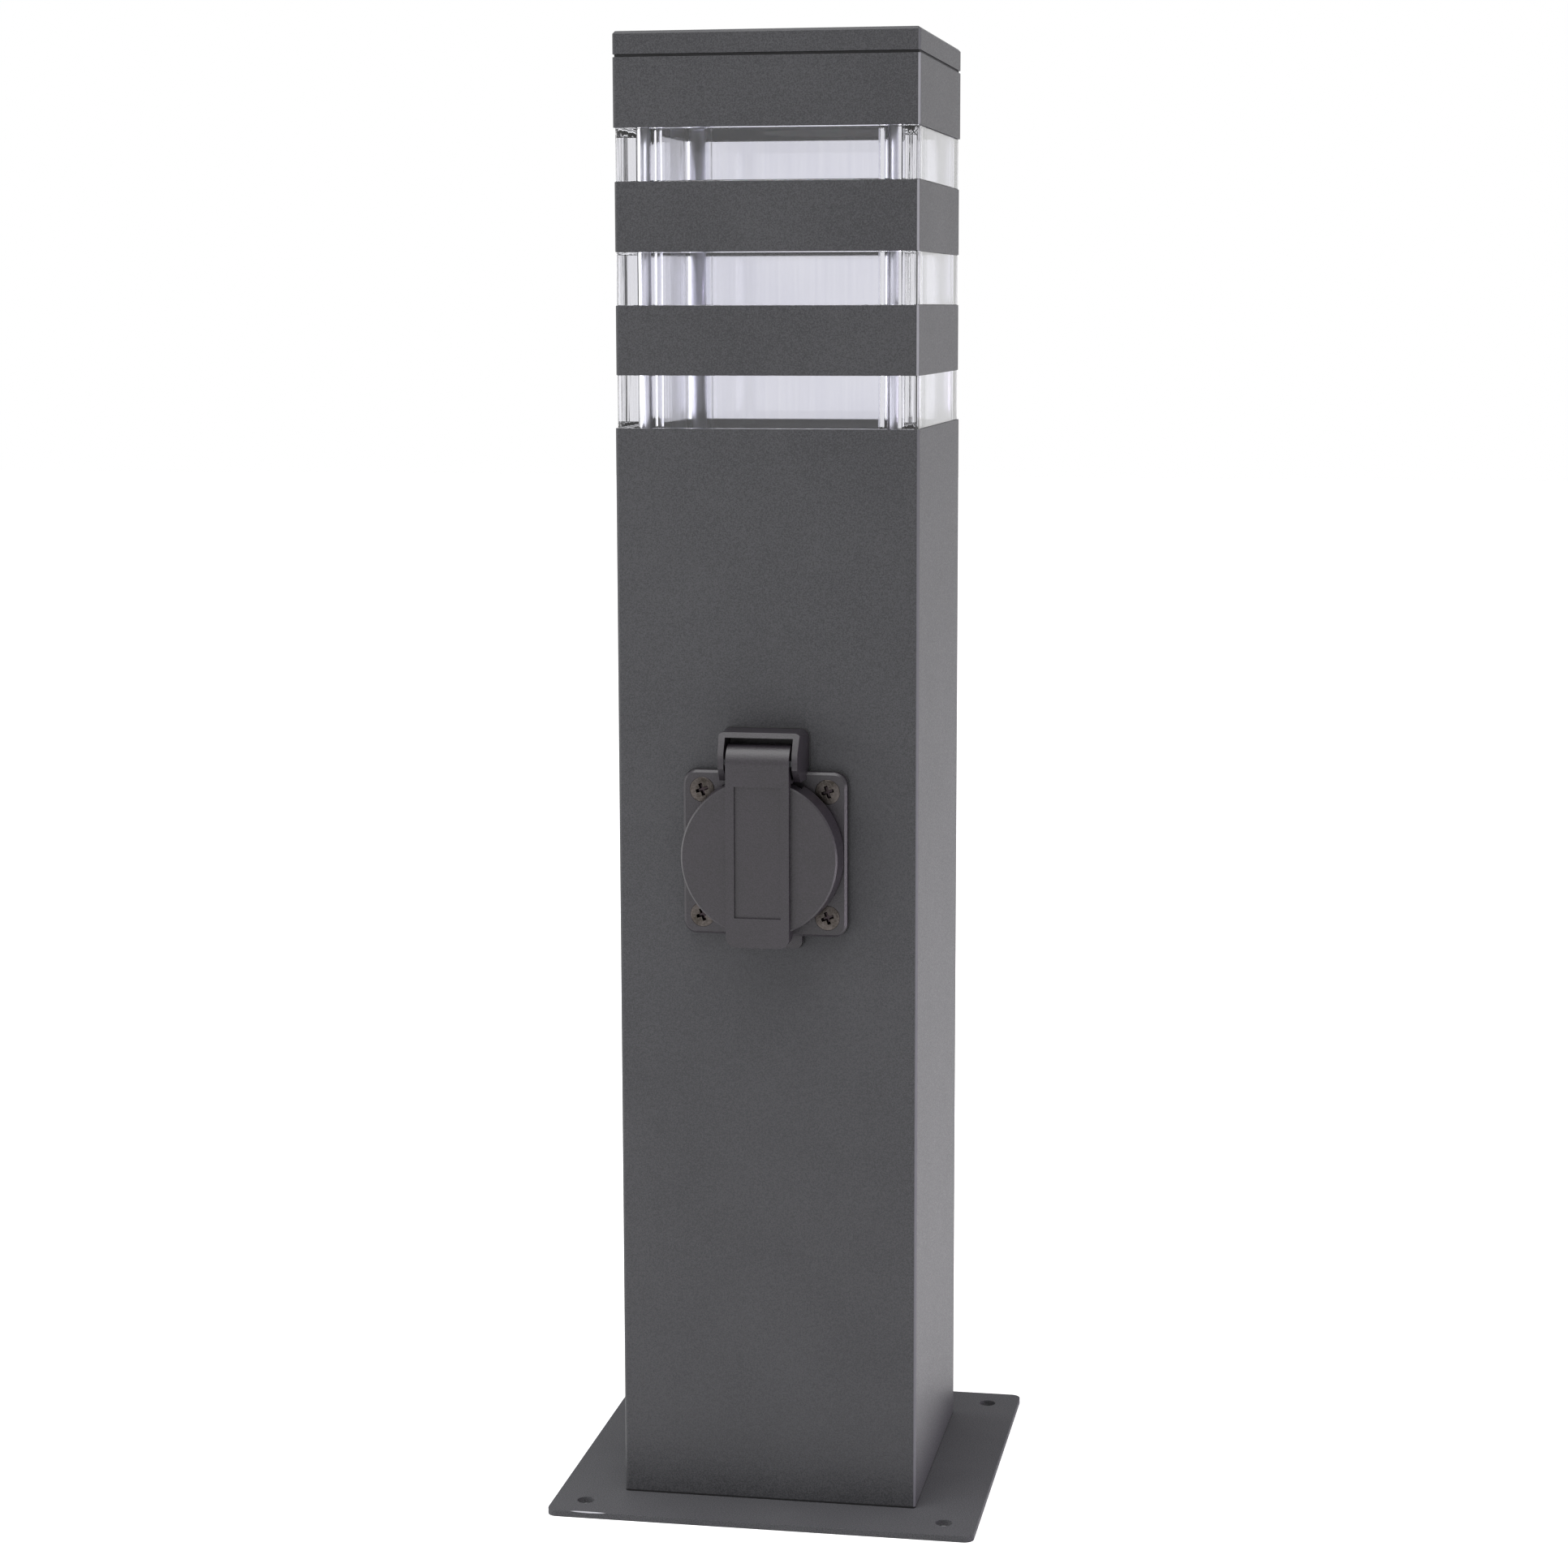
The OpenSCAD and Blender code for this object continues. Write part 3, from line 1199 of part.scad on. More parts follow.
// The lamp lead: up from the driver, through the hollow rod, over and down to the LED board
module lamp_lead() {
    driver_top = driver_z + driver_h;
    middle = (rod_z0 + rod_z1) / 2;
    points = [[lamp_lead_x, driver_y + 9, driver_top], [lamp_lead_x, driver_y + 9, driver_top + 3],
        [lamp_lead_x, driver_y + 9, driver_top + 6], [lamp_lead_x - 10, driver_y + 11, driver_top + 15],
        [-rod_at + 6, rod_at - 2, rod_z0 - 16], [-rod_at, rod_at, rod_z0 - 6], [-rod_at, rod_at, rod_z0 - 2],
        [-rod_at, rod_at, middle], [-rod_at, rod_at, rod_z1 - 3], [-rod_at, rod_at, rod_z1 + 0.5],
        [-rod_at + 3.5, rod_at - 3.5, rod_z1 + 6], [lead_hole_at - 14, -lead_hole_at + 14, rod_z1 + 8],
        [lead_hole_at - 3, -lead_hole_at + 3, rod_z1 + 6.5], [lead_hole_at, -lead_hole_at, spreader_top + 1],
        [lead_hole_at, -lead_hole_at, board_top + 1.5], [lead_hole_at, -lead_hole_at, board_top]];
    color("#e2e2e0") lead_tube(smooth_path(points, curve_steps), lamp_lead_d / 2, lead_sides, [1, 0, 0]);
}

base_plate();
post_tube();
foot_welds();
earth_stud();
earth_nut();
corner_gussets();
head_tray();
clear_ring_lower();
band_lower();
clear_ring_middle();
band_upper();
clear_ring_upper();
head_housing();
cap_seal();
top_cap();
cap_screws();
tie_rods();
hollow_tie_rod();
tie_nuts();
tie_washers();
diffuser();
heat_spreader();
led_board();
led_chips();
board_screws();
spreader_screws();
led_driver();
driver_rivets();
socket_gasket();
socket_frame();
socket_screws();
socket_nuts();
contact_block();
contact_sleeves();
earth_clip();
terminal_screws();
back_cover();
centre_screw();
socket_lid();
lid_seal();
hinge_pin();
lid_spring();
junction_box();
junction_lid();
junction_screws();
box_rivets();
supply_gland();
lead_glands();
terminal_block();
lead_live();
lead_earth();
lead_neutral();
driver_lead();
lamp_lead();
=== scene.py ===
"""Garden lamp post with socket: the looks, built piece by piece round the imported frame."""

import bmesh
import bpy
import numpy as np
from mathutils import Matrix


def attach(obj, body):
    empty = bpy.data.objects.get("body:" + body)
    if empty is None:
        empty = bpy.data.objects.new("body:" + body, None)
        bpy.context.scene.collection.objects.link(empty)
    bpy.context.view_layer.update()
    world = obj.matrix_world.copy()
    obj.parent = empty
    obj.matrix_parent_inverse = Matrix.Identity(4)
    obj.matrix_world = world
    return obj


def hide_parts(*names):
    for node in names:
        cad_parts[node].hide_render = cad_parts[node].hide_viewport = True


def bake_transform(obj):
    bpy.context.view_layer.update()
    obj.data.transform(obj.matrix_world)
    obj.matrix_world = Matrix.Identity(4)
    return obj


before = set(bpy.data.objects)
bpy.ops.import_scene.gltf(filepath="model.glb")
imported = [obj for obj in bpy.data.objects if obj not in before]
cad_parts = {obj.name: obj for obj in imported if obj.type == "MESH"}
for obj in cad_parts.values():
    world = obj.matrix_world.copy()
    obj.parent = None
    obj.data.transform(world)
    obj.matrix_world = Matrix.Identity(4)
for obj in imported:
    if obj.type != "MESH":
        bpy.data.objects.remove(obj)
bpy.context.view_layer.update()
MM = 0.001

# Base plate and post: laser-cut steel sheet and a folded square tube, welded inside the foot and powder coated
# together in a fine-textured anthracite. The coat is dull and even; its grain is a faint speckle a third of a
# millimetre wide, and a painted shadow line darkens the seam round the foot.


def linear(hex_colour):
    """The linear colour of an sRGB hex value, with an alpha of 1."""
    values = np.array([int(hex_colour[i:i + 2], 16) for i in (1, 3, 5)]) / 255
    return (*np.where(values <= 0.04045, values / 12.92, ((values + 0.055) / 1.055) ** 2.4), 1.0)


def add(material, kind, settings=None, links=None):
    """Adds a node; settings are values by socket or property name, links are outputs by socket name or number."""
    tree = material.node_tree
    node = tree.nodes.new(kind)
    for name, value in (settings or {}).items():
        if isinstance(name, int) or name in node.inputs:
            node.inputs[name].default_value = value
        else:
            setattr(node, name, value)
    for name, output in (links or {}).items():
        tree.links.new(output, node.inputs[name])
    return node


def mottled(name, dark, light, grain_mm, drift_mm, relief_mm, settings, drift_share=0.5, stretch=(1, 1, 1)):
    """A finish whose tone runs from dark to light with a slow drift and a fine grain, which also stands in relief.

    tone = drift_share * drift + (1 - drift_share) * grain; a stretch under 1 draws the grain out along that axis.
    """
    material = bpy.data.materials.new(name)
    material.use_nodes = True
    shader = material.node_tree.nodes["Principled BSDF"]
    for socket, value in settings.items():
        shader.inputs[socket].default_value = value
    place = add(material, "ShaderNodeTexCoord").outputs["Object"]
    drawn = add(material, "ShaderNodeMapping", {"Scale": stretch}, {"Vector": place}).outputs["Vector"]
    drift = add(material, "ShaderNodeTexNoise", {"Scale": 1 / (drift_mm * MM), "Detail": 2.0}, {"Vector": place})
    grain = add(material, "ShaderNodeTexNoise", {"Scale": 1 / (grain_mm * MM), "Detail": 1.5, "Roughness": 0.6},
                {"Vector": drawn})
    tone = add(material, "ShaderNodeMix", {"Factor": 1 - drift_share},
               {2: drift.outputs["Fac"], 3: grain.outputs["Fac"]})
    ramp = add(material, "ShaderNodeValToRGB", links={"Fac": tone.outputs["Result"]})
    ramp.color_ramp.elements[0].position, ramp.color_ramp.elements[0].color = 0.38, linear(dark)
    ramp.color_ramp.elements[1].position, ramp.color_ramp.elements[1].color = 0.62, linear(light)
    bump = add(material, "ShaderNodeBump", {"Strength": 1.0, "Distance": relief_mm * MM},
               {"Height": grain.outputs["Fac"]})
    material.node_tree.links.new(ramp.outputs["Color"], shader.inputs["Base Color"])
    material.node_tree.links.new(bump.outputs["Normal"], shader.inputs["Normal"])
    return material


def place_piece(piece, material, body, nodes):
    """Links a piece, gives it its material, lets it ride on its body and stand for its CAD nodes.

    A piece without a body is attached to none.
    """
    bpy.context.scene.collection.objects.link(piece)
    piece.data.materials.clear()
    piece.data.materials.append(material)
    piece.data.shade_smooth()
    if body:
        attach(piece, body)
    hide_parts(*nodes)
    return piece


def rounded(node, material, edge_mm, body="post", segments=2, polished=False):
    """A copy of a CAD node whose sharp edges are rounded over; its doubles are merged and its flat faces joined first.

    Weighted normals keep broad faces level up to the rounding; a polished piece has flat normals throughout,
    because a clear one would bend the view through it.
    """
    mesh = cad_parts[node].data.copy()
    shape = bmesh.new()
    shape.from_mesh(mesh)
    bmesh.ops.remove_doubles(shape, verts=shape.verts, dist=0.01 * MM)
    bmesh.ops.dissolve_degenerate(shape, edges=shape.edges, dist=0.01 * MM)
    bmesh.ops.dissolve_limit(shape, angle_limit=np.radians(0.3), verts=shape.verts, edges=shape.edges)
    shape.to_mesh(mesh)
    shape.free()
    piece = place_piece(bpy.data.objects.new(node + "_finished", mesh), material, body, [node])
    bevel = piece.modifiers.new("rounded_edges", "BEVEL")
    bevel.width, bevel.segments, bevel.limit_method = edge_mm * MM, segments, "ANGLE"
    bevel.angle_limit = np.radians(32)
    if polished:
        mesh.shade_flat()
    else:
        piece.modifiers.new("level_faces", "WEIGHTED_NORMAL").weight = 100
    return piece


def tinted(material, mask, tone):
    """Mixes another tone into a finish: (1 - mask) * finish + mask * tone."""
    shader = material.node_tree.nodes["Principled BSDF"]
    base = shader.inputs["Base Color"].links[0].from_socket
    mix = add(material, "ShaderNodeMix", {"data_type": "RGBA", 7: linear(tone)}, {0: mask, 6: base})
    material.node_tree.links.new(mix.outputs[2], shader.inputs["Base Color"])


def off_middle(material, place):
    """How far a place is from the object's middle line, square to its sides: the greater of |x| and |y|."""
    size = add(material, "ShaderNodeVectorMath", {"operation": "ABSOLUTE"}, {0: place}).outputs["Vector"]
    sides = add(material, "ShaderNodeSeparateXYZ", links={0: size})
    return add(material, "ShaderNodeMath", {"operation": "MAXIMUM"},
               {0: sides.outputs["X"], 1: sides.outputs["Y"]}).outputs[0]


COAT_SPECKLE = {"grain_mm": 0.33, "drift_mm": 30, "relief_mm": 0.05, "drift_share": 0.15}


def coated(name, corner_mm=None, highlight_tone="#77777c", shade_inside_mm=None):
    """Powder coat on steel, its roughness grained as its tone; a pale line is painted where x - y comes near
    corner_mm, a painted highlight.

    Inside a box section, where both |x| and |y| stay under the inside limit, the coat is painted near black: painted
    shade.
    """
    material = mottled(name, "#3c3c3f", "#545457", settings={"Specular IOR Level": 0.3}, **COAT_SPECKLE)
    shader, bump = (material.node_tree.nodes[kind] for kind in ("Principled BSDF", "Bump"))
    grain = bump.inputs["Height"].links[0].from_socket
    rough = add(material, "ShaderNodeMapRange", {"From Min": 0.35, "From Max": 0.65, "To Min": 0.38, "To Max": 0.66},
                {"Value": grain})
    material.node_tree.links.new(rough.outputs["Result"], shader.inputs["Roughness"])
    place = add(material, "ShaderNodeTexCoord").outputs["Object"]
    # A pale line painted along the front right corner: a painted highlight.
    if corner_mm:
        reach = add(material, "ShaderNodeVectorMath", {"operation": "DOT_PRODUCT", 1: (1, -1, 0)}, {0: place})
        corner_highlight = add(material, "ShaderNodeMapRange",
                   {"From Min": (corner_mm - 0.18) * MM, "From Max": (corner_mm - 0.1) * MM},
                   {"Value": reach.outputs["Value"]})
        tinted(material, corner_highlight.outputs["Result"], highlight_tone)
    # Near black painted inside the box section: painted shade.
    if shade_inside_mm:
        inner_shade = add(material, "ShaderNodeMath", {"operation": "LESS_THAN", 1: shade_inside_mm * MM},
                    {0: off_middle(material, place)})
        tinted(material, inner_shade.outputs[0], "#0c0c0e")
    return material


# The plate's coat is flatter and a little paler. Its front rim is knocked bare over a short stretch at the left.
plate_half = 65
knock_at, knock_half = np.array([-52, -plate_half, 2.1]), np.array([6, 0.5, 0.45])
plate_coat = mottled("powder_coat_on_plate", "#4b4b4e", "#636366",
                     settings={"Roughness": 0.7, "Specular IOR Level": 0.12}, **COAT_SPECKLE)
plate_place = add(plate_coat, "ShaderNodeTexCoord").outputs["Object"]
from_knock = add(plate_coat, "ShaderNodeVectorMath", {"operation": "SUBTRACT", 1: knock_at * MM},
                 {0: plate_place}).outputs["Vector"]
in_knocks = add(plate_coat, "ShaderNodeVectorMath", {"operation": "DIVIDE", 1: knock_half * MM},
                {0: from_knock}).outputs["Vector"]
knock_reach = add(plate_coat, "ShaderNodeVectorMath", {"operation": "LENGTH"}, {0: in_knocks}).outputs["Value"]
knock = add(plate_coat, "ShaderNodeMapRange", {"From Min": 1.0, "From Max": 0.8}, {"Value": knock_reach})
tinted(plate_coat, knock.outputs["Result"], "#d8d8de")
rounded("base_plate", plate_coat, 0.3)

# The post's coat is painted darker in a line over the plate, half a millimetre high: a painted shadow in the seam. A
# pale line is painted along the corner between the front and the right side as a painted highlight, whose x - y is
# post_corner where its rounding stands out the furthest.
post_corner, seam_top, seam_full = 89.41, 2.7, 2.4
post_coat = coated("powder_coat_on_post", post_corner)
post_place = add(post_coat, "ShaderNodeTexCoord").outputs["Object"]
post_height = add(post_coat, "ShaderNodeSeparateXYZ", links={0: post_place}).outputs["Z"]
# A painted shadow line in the seam over the plate.
seam_shade = add(post_coat, "ShaderNodeMapRange", {"From Min": seam_top * MM, "From Max": seam_full * MM},
           {"Value": post_height})
tinted(post_coat, seam_shade.outputs["Result"], "#1c1c1d")
rounded("post_tube", post_coat, 0.1)

# Inside the foot: weld beads of bare mild steel, dull with blue heat tints, and the plated earth stud and nut.
mild_steel = mottled("welded_mild_steel", "#4c4d52", "#74726f", 0.8, 9, 0.12, {"Metallic": 1.0, "Roughness": 0.5})
ZINC = {"Metallic": 1.0, "Roughness": 0.36}
zinc = mottled("yellow_zinc_plate", "#5e584c", "#7b7463", 0.5, 3, 0.02, ZINC)
rounded("foot_welds", mild_steel, 0.5, segments=3)
rounded("earth_stud", zinc, 0.3)
rounded("earth_nut", zinc, 0.3)

# Top of the post: laser-cut gussets welded into the corners, and the folded tray that closes the post.
rounded("corner_gussets", mild_steel, 0.3)
rounded("head_tray", coated("powder_coat_on_tray"), 0.3)

# Tie rods: bright drawn stainless steel, M5, one of them hollow for the lamp's lead. The 0.8 mm thread is rolled on
# the ends alone, so that the rods stand smooth and bright behind the clear rings.


def grid_faces(rows, columns, wrap_rows=False):
    """Quads over a grid of points numbered row by row; the columns always close on themselves."""
    row, column = np.arange(rows - (not wrap_rows))[:, None], np.arange(columns)[None, :]
    after, beside = (row + 1) % rows, (column + 1) % columns
    return np.stack([row * columns + column, row * columns + beside, after * columns + beside,
                     after * columns + column], -1).reshape(-1, 4)


def surface(name, grids, material, nodes, body="post", wrap_rows=False):
    """A piece from grids of points in millimetres, one closed shell each; doubles at poles are merged.

    Its attribute turn runs from 0 to 1 across each grid's columns.
    """
    points, faces, turns, start = [], [], [], 0
    for grid in grids:
        rows, columns = grid.shape[:2]
        turns.append(np.tile(np.arange(columns) / columns, rows))
        quads = grid_faces(rows, columns, wrap_rows)
        flat = grid.reshape(-1, 3)
        a, b, c, d = (flat[quads[:, i]] - flat.mean(0) for i in range(4))
        if (np.cross(a - c, b - d) * (a + b + c + d)).sum() < 0:
            quads = quads[:, ::-1]
        points.append(flat)
        faces.append(quads + start)
        start += len(flat)
    mesh = bpy.data.meshes.new(name)
    mesh.from_pydata((np.concatenate(points) * MM).tolist(), [], np.concatenate(faces).tolist())
    mesh.attributes.new("turn", "FLOAT", "POINT").data.foreach_set("value", np.concatenate(turns).astype(np.float32))
    shape = bmesh.new()
    shape.from_mesh(mesh)
    bmesh.ops.remove_doubles(shape, verts=shape.verts, dist=1e-7)
    shape.to_mesh(mesh)
    shape.free()
    return place_piece(bpy.data.objects.new(name, mesh), material, body, nodes)


def turned(radius, height, pitch=1.0, depth=0.0, sides=24):
    """Points of a turned form with a thread: radius less depth times a triangle wave of height / pitch - turn."""
    turn = np.arange(sides) / sides
    wave = np.abs(2 * ((height[:, None] / pitch - turn) % 1) - 1)
    reach = np.maximum(radius[:, None] - np.broadcast_to(depth, radius.shape)[:, None] * wave, 0)
    return np.stack([reach * np.cos(2 * np.pi * turn), reach * np.sin(2 * np.pi * turn),
                     np.broadcast_to(height[:, None], reach.shape)], -1)


stainless = mottled("rolled_stainless_steel", "#a9acb0", "#cfd2d6", 0.3, 6, 0.01,
                    {"Metallic": 1.0, "Roughness": 0.28})
bright_steel = mottled("drawn_stainless_steel", "#e6e6ec", "#f4f4fa", 0.2, 12, 0.002,
                       {"Metallic": 1.0, "Roughness": 0.45})
rod_at, rod_r, rod_low, rod_high, rod_bore_r, rod_chamfer = 36.5, 2.4, 311.85, 426.25, 1.6, 0.5
rod_pitch, thread_l, thread_depth, rod_sides = 0.8, 10, 0.4, 40
thread_rows = np.concatenate([[0, rod_chamfer], np.arange(rod_chamfer + 0.1, thread_l, rod_pitch / 6), [thread_l]])
rod_rows = np.concatenate([rod_low + thread_rows, rod_high - thread_rows[::-1]])
from_end = np.minimum(rod_rows - rod_low, rod_high - rod_rows)
rod_depth = np.where((from_end > rod_chamfer + 0.05) & (from_end < thread_l), thread_depth, 0.0)
rod_outside = turned(np.full(rod_rows.shape, rod_r), rod_rows, rod_pitch, rod_depth, rod_sides)
low_end = turned(np.r_[0, rod_r - rod_chamfer], np.r_[rod_low, rod_low], sides=rod_sides)
high_end = turned(np.r_[rod_r - rod_chamfer, 0], np.r_[rod_high, rod_high], sides=rod_sides)
solid_rod = np.concatenate([low_end, rod_outside, high_end])
rod_bore = turned(np.full(2, rod_bore_r), np.r_[rod_high, rod_low], sides=rod_sides)
surface("bright_tie_rods",
        [solid_rod + (x, y, 0) for x, y in ((-rod_at, -rod_at), (rod_at, -rod_at), (rod_at, rod_at))],
        bright_steel, ["tie_rods"])
surface("bright_hollow_rod", [np.concatenate([rod_outside, rod_bore]) + (-rod_at, rod_at, 0)],
        bright_steel, ["hollow_tie_rod"], wrap_rows=True)
rounded("tie_nuts", stainless, 0.25)
rounded("tie_washers", stainless, 0.15)

# Clear rings: injection-moulded polycarbonate with polished faces, 5 mm thick, with a boss in each corner for its
# rod. The plastic is clear with a faint violet. The flow of the melt has left upright lines on the upright faces by
# the corners, which come up as |x| + |y| runs from boss_start to boss_full.
clear = mottled("clear_polycarbonate", "#f0f0f7", "#f6f6fb", 1.2, 30, 0.1,
                {"Roughness": 0.03, "IOR": 1.58, "Specular IOR Level": 0.2, "Transmission Weight": 1.0},
                stretch=(1, 1, 0.01))
boss_start, boss_full = 70, 79
clear_place = add(clear, "ShaderNodeTexCoord").outputs["Object"]
clear_size = add(clear, "ShaderNodeVectorMath", {"operation": "ABSOLUTE"}, {0: clear_place}).outputs["Vector"]
clear_reach = add(clear, "ShaderNodeVectorMath", {"operation": "DOT_PRODUCT", 1: (1, 1, 0)}, {0: clear_size})
by_corner = add(clear, "ShaderNodeMapRange", {"From Min": boss_start * MM, "From Max": boss_full * MM},
                {"Value": clear_reach.outputs["Value"]})
clear_facing = add(clear, "ShaderNodeVectorMath", {"operation": "MULTIPLY", 1: (1, 1, 0)},
                   {0: add(clear, "ShaderNodeNewGeometry").outputs["Normal"]}).outputs["Vector"]
clear_upright = add(clear, "ShaderNodeVectorMath", {"operation": "LENGTH"}, {0: clear_facing}).outputs["Value"]
flow = add(clear, "ShaderNodeMath", {"operation": "MULTIPLY"}, {0: by_corner.outputs["Result"], 1: clear_upright})
clear.node_tree.links.new(flow.outputs[0], clear.node_tree.nodes["Bump"].inputs["Strength"])
for ring in ("clear_ring_lower", "clear_ring_middle", "clear_ring_upper"):
    rounded(ring, clear, 0.6, segments=3, polished=True)

# Bands, lamp housing and cap: folded and welded sheet, coated like the post. Their rims are rounded by the coat, and
# a pale line is painted on their front right corners as a painted highlight.
band_corner, pale_highlight_tone = 88.91, "#b4b4ba"
# Inside the bands and the housing the coat is painted near black: painted shade.
band_coat = coated("powder_coat_on_bands", band_corner, pale_highlight_tone, shade_inside_mm=42.9)
rounded("band_lower", band_coat, 0.2)
rounded("band_upper", band_coat, 0.2)
rounded("head_housing", coated("powder_coat_on_housing", post_corner, pale_highlight_tone, shade_inside_mm=43.1),
        0.2)
rounded("top_cap", coated("powder_coat_on_cap", post_corner), 0.25, segments=3)
rounded("cap_screws", stainless, 0.2)

# Seals: extruded and moulded EPDM rubber, soft, matt and a little dusty.
rubber = mottled("moulded_epdm_rubber", "#151516", "#232325", 0.5, 8, 0.03, {"Roughness": 0.75})
rounded("cap_seal", rubber, 0.15)
rounded("lid_seal", rubber, 0.3, body="lid")
rounded("socket_gasket", rubber, 0.15)

# Lamp: an opal acrylic disc, a white LED board with yellow phosphor chips, and a turned aluminium heat spreader.
opal = mottled("opal_acrylic_disc", "#efefea", "#f7f7f3", 0.8, 20, 0.01,
               {"Roughness": 0.35, "Subsurface Weight": 0.4, "Subsurface Scale": 0.003})
aluminium = mottled("turned_aluminium", "#9c9ea1", "#b9bbbe", 0.25, 10, 0.02, {"Metallic": 1.0, "Roughness": 0.33})
board = mottled("white_solder_mask", "#dcdcd6", "#ecece6", 0.5, 5, 0.02, {"Roughness": 0.4})
phosphor = mottled("yellow_led_phosphor", "#e3c033", "#f3d85c", 0.2, 1, 0.02, {"Roughness": 0.45})
rounded("diffuser", opal, 0.2)
rounded("heat_spreader", aluminium, 0.3)
rounded("led_board", board, 0.15)
rounded("led_chips", phosphor, 0.12)
rounded("board_screws", stainless, 0.15)
rounded("spreader_screws", stainless, 0.15)

# LED driver: a moulded off-white case on the post's back wall, held by aluminium blind rivets.
white_plastic = mottled("moulded_white_polycarbonate", "#d2d2cd", "#dededa", 0.4, 12, 0.03, {"Roughness": 0.5})
rivet_metal = mottled("blind_rivet_aluminium", "#86888b", "#a1a3a6", 0.3, 2, 0.02, {"Metallic": 1.0, "Roughness": 0.4})
rounded("led_driver", white_plastic, 0.6)
rounded("driver_rivets", rivet_metal, 0.4)

# Socket frame: flange, cup, hinge cheeks and lug in one moulding of glass-filled polyamide, with an eroded matt
# grain. It is a dark grey, a little purple against the post.
socket_plastic = mottled("moulded_grey_polyamide", "#232024", "#302b32", 0.4, 12, 0.05, {"Roughness": 0.36}, 0.25)
rounded("socket_frame", socket_plastic, 0.3)

# Flange screws: raised countersunk heads with a cross recess, zinc plated and passivated yellow, now a dull brown.
# The recess is painted darker: painted shade.
post_face, socket_up = 45, 202.4


def on_socket(points):
    """From the socket's own frame (right, up, out of the post's face) to the object's."""
    return np.stack([points[..., 0], -post_face - points[..., 2], socket_up + points[..., 1]], -1)


screw_head_r, head_crown, head_h, screw_sides = 3.65, 0.3, 1.65, 120
screw_r, screw_front, screw_back, screw_pitch, screw_thread, tip_l = 2.0, 4.0, -10.0, 0.7, 0.35, 0.4
cross_turn, cross_half, cross_reach, cross_deep = np.radians(19), 0.5, 1.9, 1.5
dome_r = np.linspace(0, screw_head_r - 0.15, 44)
dome = turned(dome_r, screw_front + head_crown * (1 - (dome_r / screw_head_r) ** 2), sides=screw_sides)
across = np.abs(dome[..., 0] * np.cos(cross_turn) + dome[..., 1] * np.sin(cross_turn))
upward = np.abs(dome[..., 1] * np.cos(cross_turn) - dome[..., 0] * np.sin(cross_turn))
in_cross = np.minimum((cross_half - np.minimum(across, upward)) / 0.15,
                      (cross_reach - np.maximum(across, upward)) / 0.5)
dome[..., 2] -= cross_deep * np.clip(in_cross, 0, 1)
under = turned(np.r_[screw_head_r, screw_head_r, screw_r],
               screw_front + np.r_[0.02, -0.12, -head_h], sides=screw_sides)
shank_top, shank_low = screw_front - head_h - 0.35, screw_back + tip_l
shank_rows = np.linspace(shank_top, shank_low, int((shank_top - shank_low) / screw_pitch * 6))
shank = turned(np.full(shank_rows.shape, screw_r), shank_rows, screw_pitch, screw_thread, screw_sides)
tip = turned(np.r_[screw_r - tip_l, 0], np.r_[screw_back, screw_back], sides=screw_sides)
screw = np.concatenate([dome, under, shank, tip])
half_pitch, recess_start, recess_full = 18.75, -48.9, -48.5
screw_zinc = mottled("yellow_zinc_on_screws", "#37332f", "#524d4b", 0.5, 3, 0.02, ZINC)
screw_place = add(screw_zinc, "ShaderNodeTexCoord").outputs["Object"]
screw_y = add(screw_zinc, "ShaderNodeSeparateXYZ", links={0: screw_place}).outputs["Y"]
# The cross recess painted darker: painted shade.
recess_shade = add(screw_zinc, "ShaderNodeMapRange", {"From Min": recess_start * MM, "From Max": recess_full * MM},
                {"Value": screw_y})
tinted(screw_zinc, recess_shade.outputs["Result"], "#3a3336")
surface("flange_screws",
        [on_socket(screw + (x, y, 0)) for x in (-half_pitch, half_pitch) for y in (-half_pitch, half_pitch)],
        screw_zinc, ["socket_screws"])
rounded("socket_nuts", zinc, 0.25)

# Contacts: a black moulded block behind the cup, brass sleeves and earth clip, and the screws that hold the wires.
black_plastic = mottled("moulded_black_polyamide", "#262628", "#303033", 0.4, 8, 0.04, {"Roughness": 0.5})
brass = mottled("drawn_brass", "#b08f4a", "#cdae69", 0.25, 3, 0.01, {"Metallic": 1.0, "Roughness": 0.3})
rounded("contact_block", black_plastic, 0.25)
rounded("back_cover", black_plastic, 0.25)
rounded("contact_sleeves", brass, 0.15)
rounded("earth_clip", brass, 0.1)
rounded("terminal_screws", brass, 0.2)
rounded("centre_screw", zinc, 0.2)

# Lid: disc, skirt and strap in one moulding of the same plastic. The strap rolls round a stainless pin, with a
# torsion spring of stainless wire in a pocket of the roll: one end hooks into the pin, the other turns with the lid.
rounded("socket_lid", socket_plastic, 0.3, body="lid")
rounded("hinge_pin", stainless, 0.2)


def curve(points, steps):
    """A smooth curve through the points: cubic between two, its slope at each half the step from its neighbours."""
    p = np.array(points, float)
    ends = np.concatenate([p[:1], p, p[-1:]])
    a, b, c, d = (ends[i:len(p) - 1 + i, None] for i in range(4))
    t = np.linspace(0, 1, steps, endpoint=False)[None, :, None]
    between = 0.5 * (2 * b + (c - a) * t + (2 * a - 5 * b + 4 * c - d) * t ** 2 + (3 * b - a - 3 * c + d) * t ** 3)
    return np.concatenate([between.reshape(-1, 3), p[-1:]])


